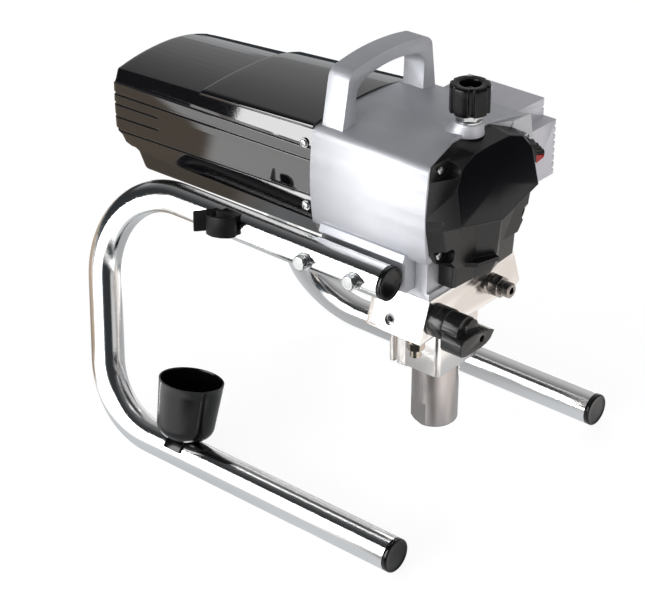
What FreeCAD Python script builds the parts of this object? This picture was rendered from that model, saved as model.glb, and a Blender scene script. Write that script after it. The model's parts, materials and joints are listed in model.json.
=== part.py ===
"""Airless paint sprayer on a two-tube skid frame, as separate pieces in millimetres.

The machine faces -Y, its left side is -X and the floor is z = 0. The origin is on the
floor, in the middle of the footprint. The motor, the crank and the piston lie on x = 0.
"""
import FreeCAD, Part
import math
import os

# Driving dimensions of the skid frame
TUBE_R = 16.0
TUBE_WALL = 2.0
FOOT_X = 157.0
ARM_X = 92.0
ARM_Z = 239.0
FOOT_FRONT_Y = -205.0
ARM_FRONT_Y = -142.5
LEG_FOOT_Y = 146.0
LEG_LEAN = 0.28
FOOT_BEND_R = 75.0
ARM_BEND_R = 80.0
CAP_T = 5.0
BOLT_Y = (-62.0, -118.0)

# Driving dimensions of the cast gear housing
HOUSING_FRONT_Y = -171.0
HOUSING_REAR_Y = -43.0
HOUSING_HALF = 75.0
HOUSING_BULGE = 78.0
HOUSING_TOP_Z = 351.0
HOUSING_CROWN_Z = 357.0
HOUSING_LOW_Z = 258.0
HOUSING_WALL = 5.0
RAIL_FACE_X = ARM_X - TUBE_R
HANDLE_FRONT_Y = -70.0
HANDLE_REAR_Y = -47.0

# Driving dimensions of the motor, the gears and the crank
AXIS_Z = 296.0
MOTOR_R = 40.0
MOTOR_FRONT_Y = -42.0
MOTOR_REAR_Y = 98.0
SHAFT_R = 5.0
SIDE_SHAFT_X = 36.0
SIDE_SHAFT_Z = AXIS_Z + 10.5
PINION_TEETH = 12
WHEEL_TEETH = 48
FIRST_MODULE = 1.25
SMALL_TEETH = 15
CRANK_TEETH = 35
SECOND_MODULE = 1.5
CRANK_THROW = 6.0
RUN_GAP = 0.05

# Driving dimensions of the fluid section
PUMP_Y = -129.0
MANIFOLD_LOW_Z = 176.7
MANIFOLD_TOP_Z = 216.0
BLOCK_LOW_Z = 118.0
INTAKE_R = 22.0
INTAKE_LOW_Z = 52.5
PISTON_R = 9.0
OUTLET_X = 28.0
OUTLET_Z = 197.0
VALVE_X = -52.5
VALVE_Z = 194.0
KNOB_Y = -157.0
KNOB_LOW_Z = 369.0
KNOB_R = 19.3


def vec(x, y, z):
    return FreeCAD.Vector(x, y, z)


X_AXIS = vec(1, 0, 0)
Y_AXIS = vec(0, 1, 0)
Z_AXIS = vec(0, 0, 1)


def box(x0, x1, y0, y1, z0, z1):
    """Box between two corners."""
    return Part.makeBox(x1 - x0, y1 - y0, z1 - z0, vec(x0, y0, z0))


def rod(radius, start, length, axis):
    """Cylinder from its start point along an axis."""
    return Part.makeCylinder(radius, length, vec(*start), axis)


def ring(outer, inner, start, length, axis):
    """Round tube from its start point along an axis."""
    return rod(outer, start, length, axis).cut(rod(inner, start, length, axis))


def cone(r0, r1, start, length, axis):
    """Cone frustum from its start point along an axis."""
    return Part.makeCone(r0, r1, length, vec(*start), axis)


def face_from(points):
    """Flat face from corner points."""
    loop = [vec(*p) for p in points]
    return Part.Face(Part.makePolygon(loop + loop[:1]))


def prism_y(points, y0, y1):
    """Outline in x and z, drawn along Y."""
    return face_from([(x, y0, z) for x, z in points]).extrude(vec(0, y1 - y0, 0))


def prism_x(points, x0, x1):
    """Outline in y and z, drawn along X."""
    return face_from([(x0, y, z) for y, z in points]).extrude(vec(x1 - x0, 0, 0))


def prism_z(points, z0, z1):
    """Outline in x and y, drawn along Z."""
    return face_from([(x, y, z0) for x, y in points]).extrude(vec(0, 0, z1 - z0))


def hexagon(across_flats, start, length, axis, turn=0.0):
    """Hexagonal bar from its start point along an axis."""
    reach = across_flats / math.sqrt(3.0)
    side_a = X_AXIS if abs(axis.x) < 0.5 else Y_AXIS
    side_b = axis.cross(side_a)
    loop = []
    for k in range(6):
        a = math.radians(60.0 * k + turn)
        loop.append(vec(*start) + side_a * (reach * math.cos(a)) + side_b * (reach * math.sin(a)))
    return Part.Face(Part.makePolygon(loop + loop[:1])).extrude(axis * length)


def fused(shapes):
    """One solid from overlapping or touching shapes."""
    return shapes[0].multiFuse(shapes[1:]).removeSplitter() if len(shapes) > 1 else shapes[0]


def ruled(loops):
    """Ruled solid through closed loops of points."""
    wires = [Part.makePolygon([vec(*p) for p in loop + loop[:1]]) for loop in loops]
    solid = Part.makeLoft(wires, True, True)
    return solid.reversed() if solid.Volume < 0 else solid


def both_sides(shape):
    """A shape and its mirror image across x = 0."""
    return [shape, shape.mirror(vec(0, 0, 0), X_AXIS)]


def rounded(shape, radius, wanted):
    """Fillet the edges that a test picks out; the shape is kept sharp if that fails."""
    edges = [e for e in shape.Edges if wanted(e)]
    if not edges:
        return shape
    try:
        result = shape.makeFillet(radius, edges)
        return result if result.isValid() and result.Volume > 0 else shape
    except Exception:
        return shape


def along(edge, axis):
    """True for a straight edge parallel to an axis."""
    if not isinstance(edge.Curve, Part.Line):
        return False
    return abs(edge.tangentAt(edge.FirstParameter).dot(axis)) > 0.999


def middle(edge):
    """Midpoint of an edge."""
    return edge.valueAt(0.5 * (edge.FirstParameter + edge.LastParameter))


os.makedirs("parts", exist_ok=True)
SAVED = []


def save(name, shape):
    """Write one sub-part and print what it holds."""
    solids = shape.Solids
    if not solids or not shape.isValid():
        print("CHECK", name, "solids", len(solids), "valid", shape.isValid())
    shape.exportStep("parts/" + name + ".step")
    SAVED.append(name)
    b = shape.BoundBox
    print("%-24s solids %3d  vol %9.0f  x %.0f..%.0f y %.0f..%.0f z %.0f..%.0f" % (
        name, len(solids), shape.Volume, b.XMin, b.XMax, b.YMin, b.YMax, b.ZMin, b.ZMax))


# Skid frame: each side is one round tube bent twice in a plane that leans inwards
def frame_centre_line():
    """Straight runs and bends of the left tube, from the foot's tip to the arm's tip."""
    up = vec(FOOT_X - ARM_X, 0, ARM_Z - TUBE_R)
    rise = up.Length
    up.normalize()
    foot = vec(-FOOT_X, 0, TUBE_R)
    corner_low = foot + Y_AXIS * LEG_FOOT_Y
    corner_high = foot + up * rise + Y_AXIS * (LEG_FOOT_Y + LEG_LEAN * (ARM_Z - TUBE_R))
    leg = (corner_high - corner_low).normalize()
    start = foot + Y_AXIS * FOOT_FRONT_Y
    finish = foot + up * rise + Y_AXIS * ARM_FRONT_Y
    edges = []
    here = start
    bends = ((corner_low, Y_AXIS, leg, FOOT_BEND_R), (corner_high, leg, -Y_AXIS, ARM_BEND_R))
    for corner, d0, d1, radius in bends:
        half_turn = math.acos(max(-1.0, min(1.0, d0.dot(d1)))) / 2.0
        setback = radius * math.tan(half_turn)
        enter = corner - d0 * setback
        leave = corner + d1 * setback
        inward = (d1 - d0).normalize()
        middle_point = corner + inward * (radius / math.cos(half_turn) - radius)
        edges.append(Part.LineSegment(here, enter).toShape())
        edges.append(Part.Arc(enter, middle_point, leave).toShape())
        here = leave
    edges.append(Part.LineSegment(here, finish).toShape())
    return Part.Wire(edges), start, finish


def frame_tube():
    """The left tube with its bolt holes."""
    path, start, finish = frame_centre_line()
    outer = Part.Wire(Part.makeCircle(TUBE_R, start, Y_AXIS))
    inner = Part.Wire(Part.makeCircle(TUBE_R - TUBE_WALL, start, Y_AXIS))
    tube = path.makePipeShell([outer], True, False).cut(path.makePipeShell([inner], True, False))
    for y in BOLT_Y:
        tube = tube.cut(rod(4.3, (-ARM_X - 20, y, ARM_Z), 40, X_AXIS))
    return tube


CLIP_SCREW_AT = (-111.5, 31.0, 246.0)


def tube_cap(x, z, front_y):
    """Plastic plug: a flange the size of the tube and a hollow spigot inside it."""
    flange = rod(TUBE_R, (x, front_y - CAP_T, z), CAP_T, Y_AXIS)
    flange = rounded(flange, 1.6, lambda e: abs(middle(e).y - (front_y - CAP_T)) < 0.01)
    spigot = ring(TUBE_R - TUBE_WALL, TUBE_R - TUBE_WALL - 2.0, (x, front_y, z), 14, Y_AXIS)
    dish = rod(TUBE_R - 4.5, (x, front_y - CAP_T, z), 0.8, Y_AXIS)
    return fused([flange, spigot]).cut(dish)


left_tube = frame_tube()
save("left_frame_tube", left_tube.cut(rod(2.0, CLIP_SCREW_AT, 16, X_AXIS)))
save("right_frame_tube", left_tube.mirror(vec(0, 0, 0), X_AXIS))
caps = both_sides(tube_cap(-FOOT_X, TUBE_R, FOOT_FRONT_Y))
caps += both_sides(tube_cap(-ARM_X, ARM_Z, ARM_FRONT_Y))
save("tube_caps", Part.makeCompound(caps))


def frame_fasteners():
    """Hex bolts with a flat washer and a lock washer, two on each side."""
    head_x = -ARM_X - TUBE_R
    bolts, flats, locks = [], [], []
    for y in BOLT_Y:
        head = hexagon(13.0, (head_x - 8.9, y, ARM_Z), 5.3, X_AXIS, 30.0)
        head = head.common(cone(5.6, 8.6, (head_x - 8.9, y, ARM_Z), 5.3, X_AXIS))
        shank = rod(4.0, (head_x - 3.6, y, ARM_Z), 46.0, X_AXIS)
        bolts += both_sides(fused([head, shank]))
        flats += both_sides(ring(8.5, 4.2, (head_x - 1.6, y, ARM_Z), 1.6, X_AXIS))
        locks += both_sides(ring(7.0, 4.2, (head_x - 3.6, y, ARM_Z), 2.0, X_AXIS))
    return bolts, flats, locks


bolt_solids, flat_washers, lock_washers = frame_fasteners()
save("frame_bolts", Part.makeCompound(bolt_solids))
save("frame_washers", Part.makeCompound(flat_washers + lock_washers))


# Gear housing: one casting with the handle, the arm rails and the neck over the manifold
def housing_outline(grow):
    """Closed outline in x and z as a wire at y = 0; grow moves it outwards."""
    half = HOUSING_HALF + grow
    low = vec(half - 1.0, 0, HOUSING_LOW_Z - grow)
    side = vec(HOUSING_BULGE + grow, 0, 303.0)
    shoulder = vec(half, 0, HOUSING_TOP_Z - 9.0)
    turn = vec(half - 2.6, 0, HOUSING_TOP_Z - 2.6 + grow)
    top = vec(half - 9.0, 0, HOUSING_TOP_Z + grow)
    crown = vec(0, 0, HOUSING_CROWN_Z + grow)
    flip = lambda p: vec(-p.x, p.y, p.z)
    edges = [
        Part.LineSegment(flip(low), low).toShape(),
        Part.Arc(low, side, shoulder).toShape(),
        Part.Arc(shoulder, turn, top).toShape(),
        Part.Arc(top, crown, flip(top)).toShape(),
        Part.Arc(flip(top), flip(turn), flip(shoulder)).toShape(),
        Part.Arc(flip(shoulder), flip(side), flip(low)).toShape(),
    ]
    return Part.Wire(edges)


def housing_block(grow, y0, y1):
    """The housing's outline drawn from y0 to y1."""
    wire = housing_outline(grow)
    wire.translate(vec(0, y0, 0))
    return Part.Face(wire).extrude(vec(0, y1 - y0, 0))


def handle_arch():
    """Carrying handle: an arch across X with a rounded opening under it."""
    outer = [vec(-68, 0, 338), vec(-57.5, 0, 399), vec(-53, 0, 405.5), vec(-44, 0, 409), vec(0, 0, 413.5)]
    inner = [vec(-47.5, 0, 352), vec(-47.5, 0, 378), vec(-34, 0, 396), vec(0, 0, 400.5)]
    flip = lambda p: vec(-p.x, p.y, p.z)

    def closed(left):
        points = left + [flip(p) for p in reversed(left[:-1])]
        return points

    o = closed(outer)
    i = closed(inner)
    outer_edges = [
        Part.LineSegment(o[0], o[1]).toShape(),
        Part.Arc(o[1], o[2], o[3]).toShape(),
        Part.Arc(o[3], o[4], o[5]).toShape(),
        Part.Arc(o[5], o[6], o[7]).toShape(),
        Part.LineSegment(o[7], o[8]).toShape(),
        Part.LineSegment(o[8], o[0]).toShape(),
    ]
    bend_left = vec(-43.5, 0, 389.5)
    inner_edges = [
        Part.LineSegment(i[0], i[1]).toShape(),
        Part.Arc(i[1], bend_left, i[2]).toShape(),
        Part.Arc(i[2], i[3], i[4]).toShape(),
        Part.Arc(i[4], flip(bend_left), i[5]).toShape(),
        Part.LineSegment(i[5], i[6]).toShape(),
        Part.LineSegment(i[6], i[0]).toShape(),
    ]
    depth = vec(0, HANDLE_REAR_Y - HANDLE_FRONT_Y, 0)
    shapes = []
    for edges in (outer_edges, inner_edges):
        wire = Part.Wire(edges)
        wire.translate(vec(0, HANDLE_FRONT_Y, 0))
        shapes.append(Part.Face(wire).extrude(depth))
    arch = shapes[0].cut(shapes[1])
    faces = (HANDLE_FRONT_Y, HANDLE_REAR_Y)
    on_face = lambda e: min(abs(middle(e).y - y) for y in faces) < 0.01
    return rounded(arch, 2.5, lambda e: on_face(e) and middle(e).z > 353.0)


BOSS_SPOTS = [(x, z) for x in (-60.0, 60.0) for z in (338.0, 270.0)]
LUG_SPOTS = [(-35.0, 334.0), (-36.0, 272.7)]
BOX_SCREW_SPOTS = [(y, z) for y in (-90.0, -140.0) for z in (286.5, 316.0)]
COVER_SEAT = [(-72, -176), (-72, -171), (-26, -159.5), (26, -159.5), (72, -171), (72, -176)]


def cover_lug(y, z):
    """Lug behind the left wall that takes a screw of the motor cover."""
    reach = 71.4 if z > 300 else 69.2
    inside = box(-71.6, -62, y - 26, HOUSING_REAR_Y - 0.5, z - 7, z + 7)
    return inside.fuse(box(-reach, -62, -45, y + 6, z - 7, z + 7))


def gear_housing():
    """Hollow casting, open towards the motor and towards the front cover."""
    outer = housing_block(0.0, HOUSING_FRONT_Y, HOUSING_REAR_Y)
    outer = rounded(outer, 5.0, lambda e: abs(middle(e).y - HOUSING_FRONT_Y) < 0.01 and middle(e).z > 262)
    solid = [outer, handle_arch()]
    rail = prism_y([(-HOUSING_HALF - 3, 262), (-60, 262), (-60, 224), (-RAIL_FACE_X, 224),
                    (-RAIL_FACE_X, 251), (-HOUSING_HALF - 5, 255)], -150, -55)
    solid += both_sides(rail)
    solid.append(box(-62, 62, -163, -101, 222, 262))
    solid.append(box(-62.4, 62.4, -166, -112, MANIFOLD_TOP_Z, 222.5))
    for x in (-54.0, 54.0):
        for y in (-154.0, -106.0):
            solid.append(rod(9.0, (x, y, 222), 40, Z_AXIS))
    for y, z in LUG_SPOTS:
        solid += both_sides(cover_lug(y, z))
    cast = fused(solid)
    hollow = housing_block(-HOUSING_WALL, HOUSING_FRONT_Y - 1, HOUSING_REAR_Y + 1)
    keep = [rod(6.0, (x, -160, z), 13, Y_AXIS) for x, z in BOSS_SPOTS]
    for k, (x, z) in enumerate(BOSS_SPOTS):
        wall_x = 72 if x > 0 else -72
        keep[k] = keep[k].fuse(box(min(x, wall_x), max(x, wall_x), -160, -147, z - 6, z + 6))
    for y, z in LUG_SPOTS:
        keep += both_sides(cover_lug(y, z))
    hollow = hollow.cut(keep[0].multiFuse(keep[1:]))
    cast = cast.cut(hollow)
    cuts = [rod(20.5, (0, PUMP_Y, MANIFOLD_TOP_Z - 1), 60, Z_AXIS)]
    cuts.append(box(-46, 46, -156, -108, 226, 264))
    cuts.append(rod(8.3, (-34, PUMP_Y, MANIFOLD_TOP_Z - 1), 20, Z_AXIS))
    cuts += [rod(2.0, (x, -161, z), 12, Y_AXIS) for x, z in BOSS_SPOTS]
    for y, z in LUG_SPOTS:
        cuts += both_sides(rod(2.0, (-74, y, z), 14, X_AXIS))
    for y in BOLT_Y:
        cuts += both_sides(rod(4.0, (-RAIL_FACE_X - 1, y, ARM_Z), 17.5, X_AXIS))
    for y, z in BOX_SCREW_SPOTS:
        cuts.append(rod(2.1, (68, y, z), 12, X_AXIS))
    cuts.append(rod(6.0, (68, -116, 305), 12, X_AXIS))
    cuts += [rod(2.5, (x, y, 215), 9.4, Z_AXIS) for x in (-40, 40) for y in (-159, -112)]
    cuts.append(rod(5.5, (0, KNOB_Y, 340), 30, Z_AXIS))
    cuts.append(prism_z(COVER_SEAT, 348.8, 362))
    return cast.cut(cuts[0].multiFuse(cuts[1:])).removeSplitter()


save("gear_housing", gear_housing())


# Motor cover: a long shell that gets smaller towards the back, with grooves along its sides
COVER_FRONT = [(64.5, 241), (71.8, 258.6), (75.4, 283), (76.8, 316), (76, 331), (73.6, 349.5), (0, 355)]
COVER_BACK = [(62, 237), (68, 257), (71, 274), (71.7, 303), (71.4, 323), (65, 334.8), (0, 342.6)]


def cover_section(points, y, inset):
    """One closed section of the cover; inset makes it smaller."""
    inner = [(x - inset if x > 0 else 0, z) for x, z in points]
    top = len(points) - 2
    inner = [(x, z + inset if k == 0 else (z - inset if k >= top else z)) for k, (x, z) in enumerate(inner)]
    loop = inner + [(-x, z) for x, z in reversed(inner[:-1])]
    return [(x, y, z) for x, z in loop]


def cover_at(y):
    """Cover outline at a given y, between the front and the back one."""
    t = (y - HOUSING_REAR_Y) / (210.0 - HOUSING_REAR_Y)
    return [(a[0] + (b[0] - a[0]) * t, a[1] + (b[1] - a[1]) * t) for a, b in zip(COVER_FRONT, COVER_BACK)]


def cover_volume(y0, y1, inset):
    """Solid between two sections of the cover."""
    return ruled([cover_section(cover_at(y0), y0, inset), cover_section(cover_at(y1), y1, inset)])


def cover_half_width(y, z):
    """Half width of the cover's outside at y and height z."""
    outline = cover_at(y)
    return next(a[0] + (b[0] - a[0]) * (z - a[1]) / (b[1] - a[1])
                for a, b in zip(outline, outline[1:]) if a[1] <= z <= b[1])


def screw_seat(y, z):
    """Half width of the flat, sunk seat under a side screw."""
    return min(cover_half_width(y + SEAT_R, z + dz) for dz in (-SEAT_R, SEAT_R)) - 0.1


def side_groove(y0, y1, z0, z1, depth, height):
    """Groove along the left flank of the cover, from (y0, z0) to (y1, z1)."""
    loops = []
    for y, z in ((y0, z0), (y1, z1)):
        x = cover_half_width(y, z)
        corners = [(-x - 2, z - height), (-x + depth, z - height / 2)]
        corners += [(-x + depth, z + height / 2), (-x - 2, z + height)]
        loops.append([(px, y, pz) for px, pz in corners])
    return ruled(loops)


REAR_CUT = [(209, 274), (200.9, 257.5), (184, 257.3), (181.3, 230), (225, 230), (225, 274)]
SEAT_R = 5.2


def motor_cover():
    """Cover shell with its rear slots and side grooves."""
    outer = cover_volume(HOUSING_REAR_Y, 210.0, 0.0)
    outer = outer.cut(prism_x(REAR_CUT, -90, 90))
    outer = rounded(outer, 6.0, lambda e: middle(e).y > 205 and middle(e).z > 325)
    inner = cover_volume(HOUSING_REAR_Y - 1.0, 207.5, 2.5)
    inner = inner.cut(prism_x([(y - 2.5, z + (2.5 if z > 240 else 0)) for y, z in REAR_CUT], -90, 90))
    shell = outer.cut(inner)
    grooves = []
    for z0, z1 in ((331.5, 324), (320.5, 311.8), (285.5, 274)):
        grooves.append(side_groove(HOUSING_REAR_Y - 1, 211, z0, z1, 1.3, 1.8))
    for z0, z1 in ((303.5, 301.4), (290.8, 288)):
        grooves.append(side_groove(151, 211, z0, z1, 1.3, 1.8))
    pairs = []
    for g in grooves:
        pairs += both_sides(g)
    shell = shell.cut(pairs[0].multiFuse(pairs[1:]))
    vents = [box(-48, 48, 200, 215, z, z + 3.2) for z in range(298, 326, 7)]
    for y, z in LUG_SPOTS:
        vents += both_sides(rod(2.1, (-80, y, z), 12, X_AXIS))
        vents += both_sides(rod(SEAT_R, (-90, y, z), 90 - screw_seat(y, z), X_AXIS))
    return shell.cut(vents[0].multiFuse(vents[1:]))


save("motor_cover", motor_cover())


def cover_hood():
    """Raised saddle that follows the front part of the cover's top."""
    loops = []
    for y in (HOUSING_REAR_Y, 99.0):
        (x5, z5), (_, crown) = cover_at(y)[-2:]
        edge = x5 + 1.9
        under = [(-edge, z5 - 1.2), (-x5, z5), (0, crown), (x5, z5), (edge, z5 - 1.2)]
        over = [(edge, z5 + 1.4), (x5 - 0.5, z5 + 3.0), (0, crown + 3.7)]
        over += [(0.5 - x5, z5 + 3.0), (-edge, z5 + 1.4)]
        loops.append([(x, y, z) for x, z in under + over])
    hood = ruled(loops)
    bow = Part.Arc(vec(-80, 96.4, 320), vec(0, 92, 320), vec(80, 96.4, 320)).toShape()
    edges = [bow]
    corners = [vec(80, 96.4, 320), vec(80, 120, 320), vec(-80, 120, 320), vec(-80, 96.4, 320)]
    for p, q in zip(corners, corners[1:]):
        edges.append(Part.LineSegment(p, q).toShape())
    return hood.cut(Part.Face(Part.Wire(edges)).extrude(vec(0, 0, 60)))


save("cover_hood", cover_hood())


def pan_screw(radius, head_r, head_t, length, start, axis, washer_r=0.0, washer_t=0.0):
    """Pan head screw with a cross recess; start is under the head, axis points out of the head."""
    seat = vec(*start)
    head = rod(head_r, seat + axis * washer_t, head_t, axis)
    top_at = washer_t + head_t
    head = rounded(head, head_t * 0.45, lambda e: abs((middle(e) - seat).dot(axis) - top_at) < 0.01)
    shank = rod(radius, seat - axis * length, length + washer_t, axis)
    parts = [head, shank]
    if washer_r:
        parts.append(rod(washer_r, seat, washer_t, axis))
    screw = fused(parts)
    across = Y_AXIS if abs(axis.y) < 0.5 else X_AXIS
    up = axis.cross(across)
    top = seat + axis * (washer_t + head_t)
    for a, b in ((across, up), (up, across)):
        signs = ((-1, -1), (1, -1), (1, 1), (-1, 1))
        loop = [top + a * (s * head_r * 0.55) + b * (t * head_r * 0.11) for s, t in signs]
        slot = Part.Face(Part.makePolygon(loop + loop[:1])).extrude(axis * (-head_t * 0.6))
        screw = screw.cut(slot)
    return screw


def cover_side_screws():
    """Four screws that hold the motor cover to the lugs of the casting."""
    screws = []
    for y, z in LUG_SPOTS:
        x = -screw_seat(y, z)
        screws += both_sides(pan_screw(2.0, 3.6, 2.4, 11.0, (x, y, z), -X_AXIS, 4.6, 1.0))
    return screws


housing_outer = housing_block(0.0, HOUSING_FRONT_Y, HOUSING_REAR_Y)


# Control box: finned aluminium shell on the right flank of the casting
BOX_X1 = 116.0


def control_box():
    """Two-tier shell, open towards the casting."""
    low = box(70, BOX_X1, -171, -73, 276.5, 331)
    high = box(70, BOX_X1, -157, -73, 320, 348)
    body = low.fuse(high).removeSplitter()
    body = rounded(body, 3.0, lambda e: middle(e).x > BOX_X1 - 1 and (along(e, Y_AXIS) or along(e, Z_AXIS)))
    for k in range(7):
        z = 323.5 - 6.9 * k
        body = body.cut(box(BOX_X1 - 3.2, BOX_X1 + 1, -172, -72, z - 1.5, z + 1.5))
        body = body.cut(rod(1.5, (BOX_X1 - 3.2, -172, z), 100, Y_AXIS))
    body = body.cut(box(BOX_X1 - 3.2, BOX_X1 + 1, -172, -72, 337, 340))
    body = body.cut(rod(1.5, (BOX_X1 - 3.2, -172, 338.5), 100, Y_AXIS))
    hollow = box(60, BOX_X1 - 8, -167, -77, 280.5, 327).fuse(box(60, BOX_X1 - 8, -153, -77, 300, 344))
    bosses = [rod(5.5, (60, y, z), 49, X_AXIS) for y, z in BOX_SCREW_SPOTS]
    hollow = hollow.cut(bosses[0].multiFuse(bosses[1:]))
    body = body.cut(hollow)
    for y, z in BOX_SCREW_SPOTS:
        body = body.cut(rod(2.0, (60, y, z), 32, X_AXIS))
    body = body.cut(housing_outer).cut(handle_arch())
    return max(body.Solids, key=lambda s: s.Volume)


save("control_box", control_box())


def wall_inner_x(z):
    """Right inner wall of the casting at height z, through the arc of its outline."""
    line = Part.makeLine(vec(0, 0, z), vec(100, 0, z))
    wire = housing_outline(-HOUSING_WALL)
    found = line.section(wire).Vertexes
    return max(v.X for v in found)


box_screws = []
for y, z in BOX_SCREW_SPOTS:
    seat_x = min(wall_inner_x(z - 4), wall_inner_x(z + 4))
    box_screws.append(pan_screw(2.0, 4.0, 2.2, 18.0, (seat_x, y, z), -X_AXIS))
board = box(86, 88, -160, -99, 284.5, 318)
for y, z in BOX_SCREW_SPOTS:
    board = board.cut(rod(6.0, (80, y, z), 20, X_AXIS))
chips = [box(88, 92, -130, -112, 292, 306), box(88, 96, -108, -100, 296, 312)]
chips.append(box(88, 90.5, -154, -146, 300, 308))
capacitor = rounded(rod(9.5, (96, -150, 333.5), 44, Y_AXIS), 1.5, lambda e: e.Length > 50)
save("control_board", Part.makeCompound([fused([board] + chips), capacitor]))


# Front cover: sloping upper body with a panel, stepped back below it
def panel_y(z):
    """Plane of the front panel."""
    return -182.3 - 0.221 * (349.4 - z)


def y_loft(rear_y, rear, front):
    """Ruled solid from a rear outline to a front outline; both are right halves from top to bottom."""
    back = rear + [(-x, z) for x, z in reversed(rear) if x > 0]
    fore = front + [(-x, y, z) for x, y, z in reversed(front) if x > 0]
    return ruled([[(x, rear_y, z) for x, z in back], fore])


def on_panel(points):
    """Points of an outline in x and z, laid on the panel's plane."""
    return [(x, panel_y(z), z) for x, z in points]


PANEL = [(0, 350.2), (25.5, 349.4), (43.2, 343.2), (55, 328), (56.6, 294.6), (0, 281.8)]
SCREW_RECESS = [(60.0, 338.0), (60.0, 270.0)]
RECESS_R = 7.5


def front_cover():
    """Outer body less its hollow, the panel seat, the screw recesses and the switch opening."""
    upper_rear = [(0, 353.2), (26, 353.2), (72, 350.5), (77.3, 304), (76, 288), (0, 276)]
    upper = y_loft(-171.0, upper_rear, on_panel(PANEL))
    seat = prism_z([(-71.7, -171.1), (-25.8, -159.8), (25.8, -159.8), (71.7, -171.1)], 349, 360)
    top = [(-72, 349), (-72, 350.5), (-26, 353.2), (26, 353.2), (72, 350.5), (72, 349)]
    top = prism_y(top, -172, -150)
    seat = seat.common(top).cut(rod(6.2, (0, KNOB_Y, 340), 30, Z_AXIS))
    flank_rear = [(0, 302), (77.2, 301), (76.2, 290), (70.8, 266), (63.5, 256), (48, 247), (0, 247)]
    flank_front = [(0, 302), (66.5, 300), (65, 290), (59.5, 267), (54, 257), (46, 247), (0, 247)]
    flank = y_loft(-171.0, flank_rear, [(x, -182, z) for x, z in flank_front])
    low_a = [(-46, -163.2), (46, -163.2), (46, -178), (42.5, -180), (18, -181.5), (0, -190.5),
             (-18, -181.5), (-42.5, -180), (-46, -178)]
    low_b = [(-46, -163.2), (46, -163.2), (46, -180), (42.5, -182), (18, -183), (0, -196.5),
             (-18, -183), (-42.5, -182), (-46, -180)]
    keel = ruled([[(x, y, z) for x, y in points] for z, points in ((226.0, low_a), (290.0, low_b))])
    ledge = prism_z([(-31, -178), (-21, -190), (1, -196), (5, -186), (0, -178)], 242.5, 246.5)
    body = upper.multiFuse([seat, flank, keel, ledge]).removeSplitter()
    body = body.cut(prism_x([(-186, 225), (-200, 238), (-200, 225)], -30, 30))
    inner_upper = y_loft(-172.0, [(0, 347), (26, 346), (68, 343), (73, 304), (72, 291), (0, 280)],
                         [(x * 0.93, panel_y(z) + 4.0, 306 + (z - 306) * 0.9) for x, z in PANEL])
    inner_rear = [(0, 300), (73, 299), (72, 290), (67, 269), (60, 259), (45, 250), (0, 250)]
    inner_front = [(0, 300), (62.5, 299), (61, 290), (55.5, 269), (50, 259), (43, 250), (0, 250)]
    inner_flank = y_loft(-172.0, inner_rear, [(x, -179, z) for x, z in inner_front])
    hollow = inner_upper.multiFuse([inner_flank, box(-43, 43, -178, -150, 229, 300)])
    bosses = []
    for x, z in SCREW_RECESS:
        for s in (-1, 1):
            bosses.append(rod(RECESS_R + 2.5, (s * x, -195, z), 24.0, Y_AXIS))
    hollow = hollow.cut(bosses[0].multiFuse(bosses[1:]))
    body = body.cut(hollow)
    body = body.cut(box(-70, 70, -160.5, -140, 220, 340).fuse(box(-50, 50, -171.1, -160, 257.7, 300)))
    cuts = []
    for x, z in SCREW_RECESS:
        for s in (-1, 1):
            cuts.append(rod(RECESS_R, (s * x, -205, z), 32.0, Y_AXIS))
            cuts.append(box(min(s * x, s * 90), max(s * x, s * 90), -205, -173, z - RECESS_R, z + RECESS_R))
            cuts.append(rod(2.2, (s * x, -175, z), 10.0, Y_AXIS))
    cuts.append(panel_slab(0.0, 1.5, 6.0))
    body = body.cut(cuts[0].multiFuse(cuts[1:]))
    return max(body.cut(switch_pocket()).Solids, key=lambda s: s.Volume)


def panel_slab(inset, depth, proud):
    """Slab in the plane of the panel."""
    k = 1.0 - inset / 56.6
    points = on_panel([(x * k, 316 + (z - 316) * (1.0 - inset / 34.0)) for x, z in PANEL])
    loop = points + [(-x, y, z) for x, y, z in reversed(points) if x > 0]
    normal = vec(0, -1.0, 0.221).normalize()
    base = [vec(*p) - normal * depth for p in loop]
    return Part.Face(Part.makePolygon(base + base[:1])).extrude(normal * (depth + proud))


FLANK_NORMAL = vec(0.767, -0.640, 0.0).normalize()
FLANK_RUN = vec(0.640, 0.767, 0.0).normalize()
SWITCH_AT = vec(67.0, -181.5, 0.0)


def switch_box(out0, out1, run0, run1, z0, z1):
    """Block in the directions of the right flank."""
    a = SWITCH_AT + FLANK_NORMAL * out0 + FLANK_RUN * run0 + Z_AXIS * z0
    loop = [a, a + FLANK_RUN * (run1 - run0)]
    loop += [loop[1] + FLANK_NORMAL * (out1 - out0), a + FLANK_NORMAL * (out1 - out0)]
    return Part.Face(Part.makePolygon(loop + loop[:1])).extrude(Z_AXIS * (z1 - z0))


def switch_pocket():
    """Room for the switch body in the right flank."""
    return switch_box(-9.5, 6.0, -7.5, 5.5, 311.5, 329.0)


save("front_cover", front_cover())
save("front_panel", panel_slab(0.35, 1.45, 0.15))
cover_bolts = []
for x, z in SCREW_RECESS:
    for s in (-1, 1):
        cover_bolts.append(pan_screw(2.0, 3.7, 2.6, 14.0, (s * x, -173.0, z), -Y_AXIS))


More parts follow.
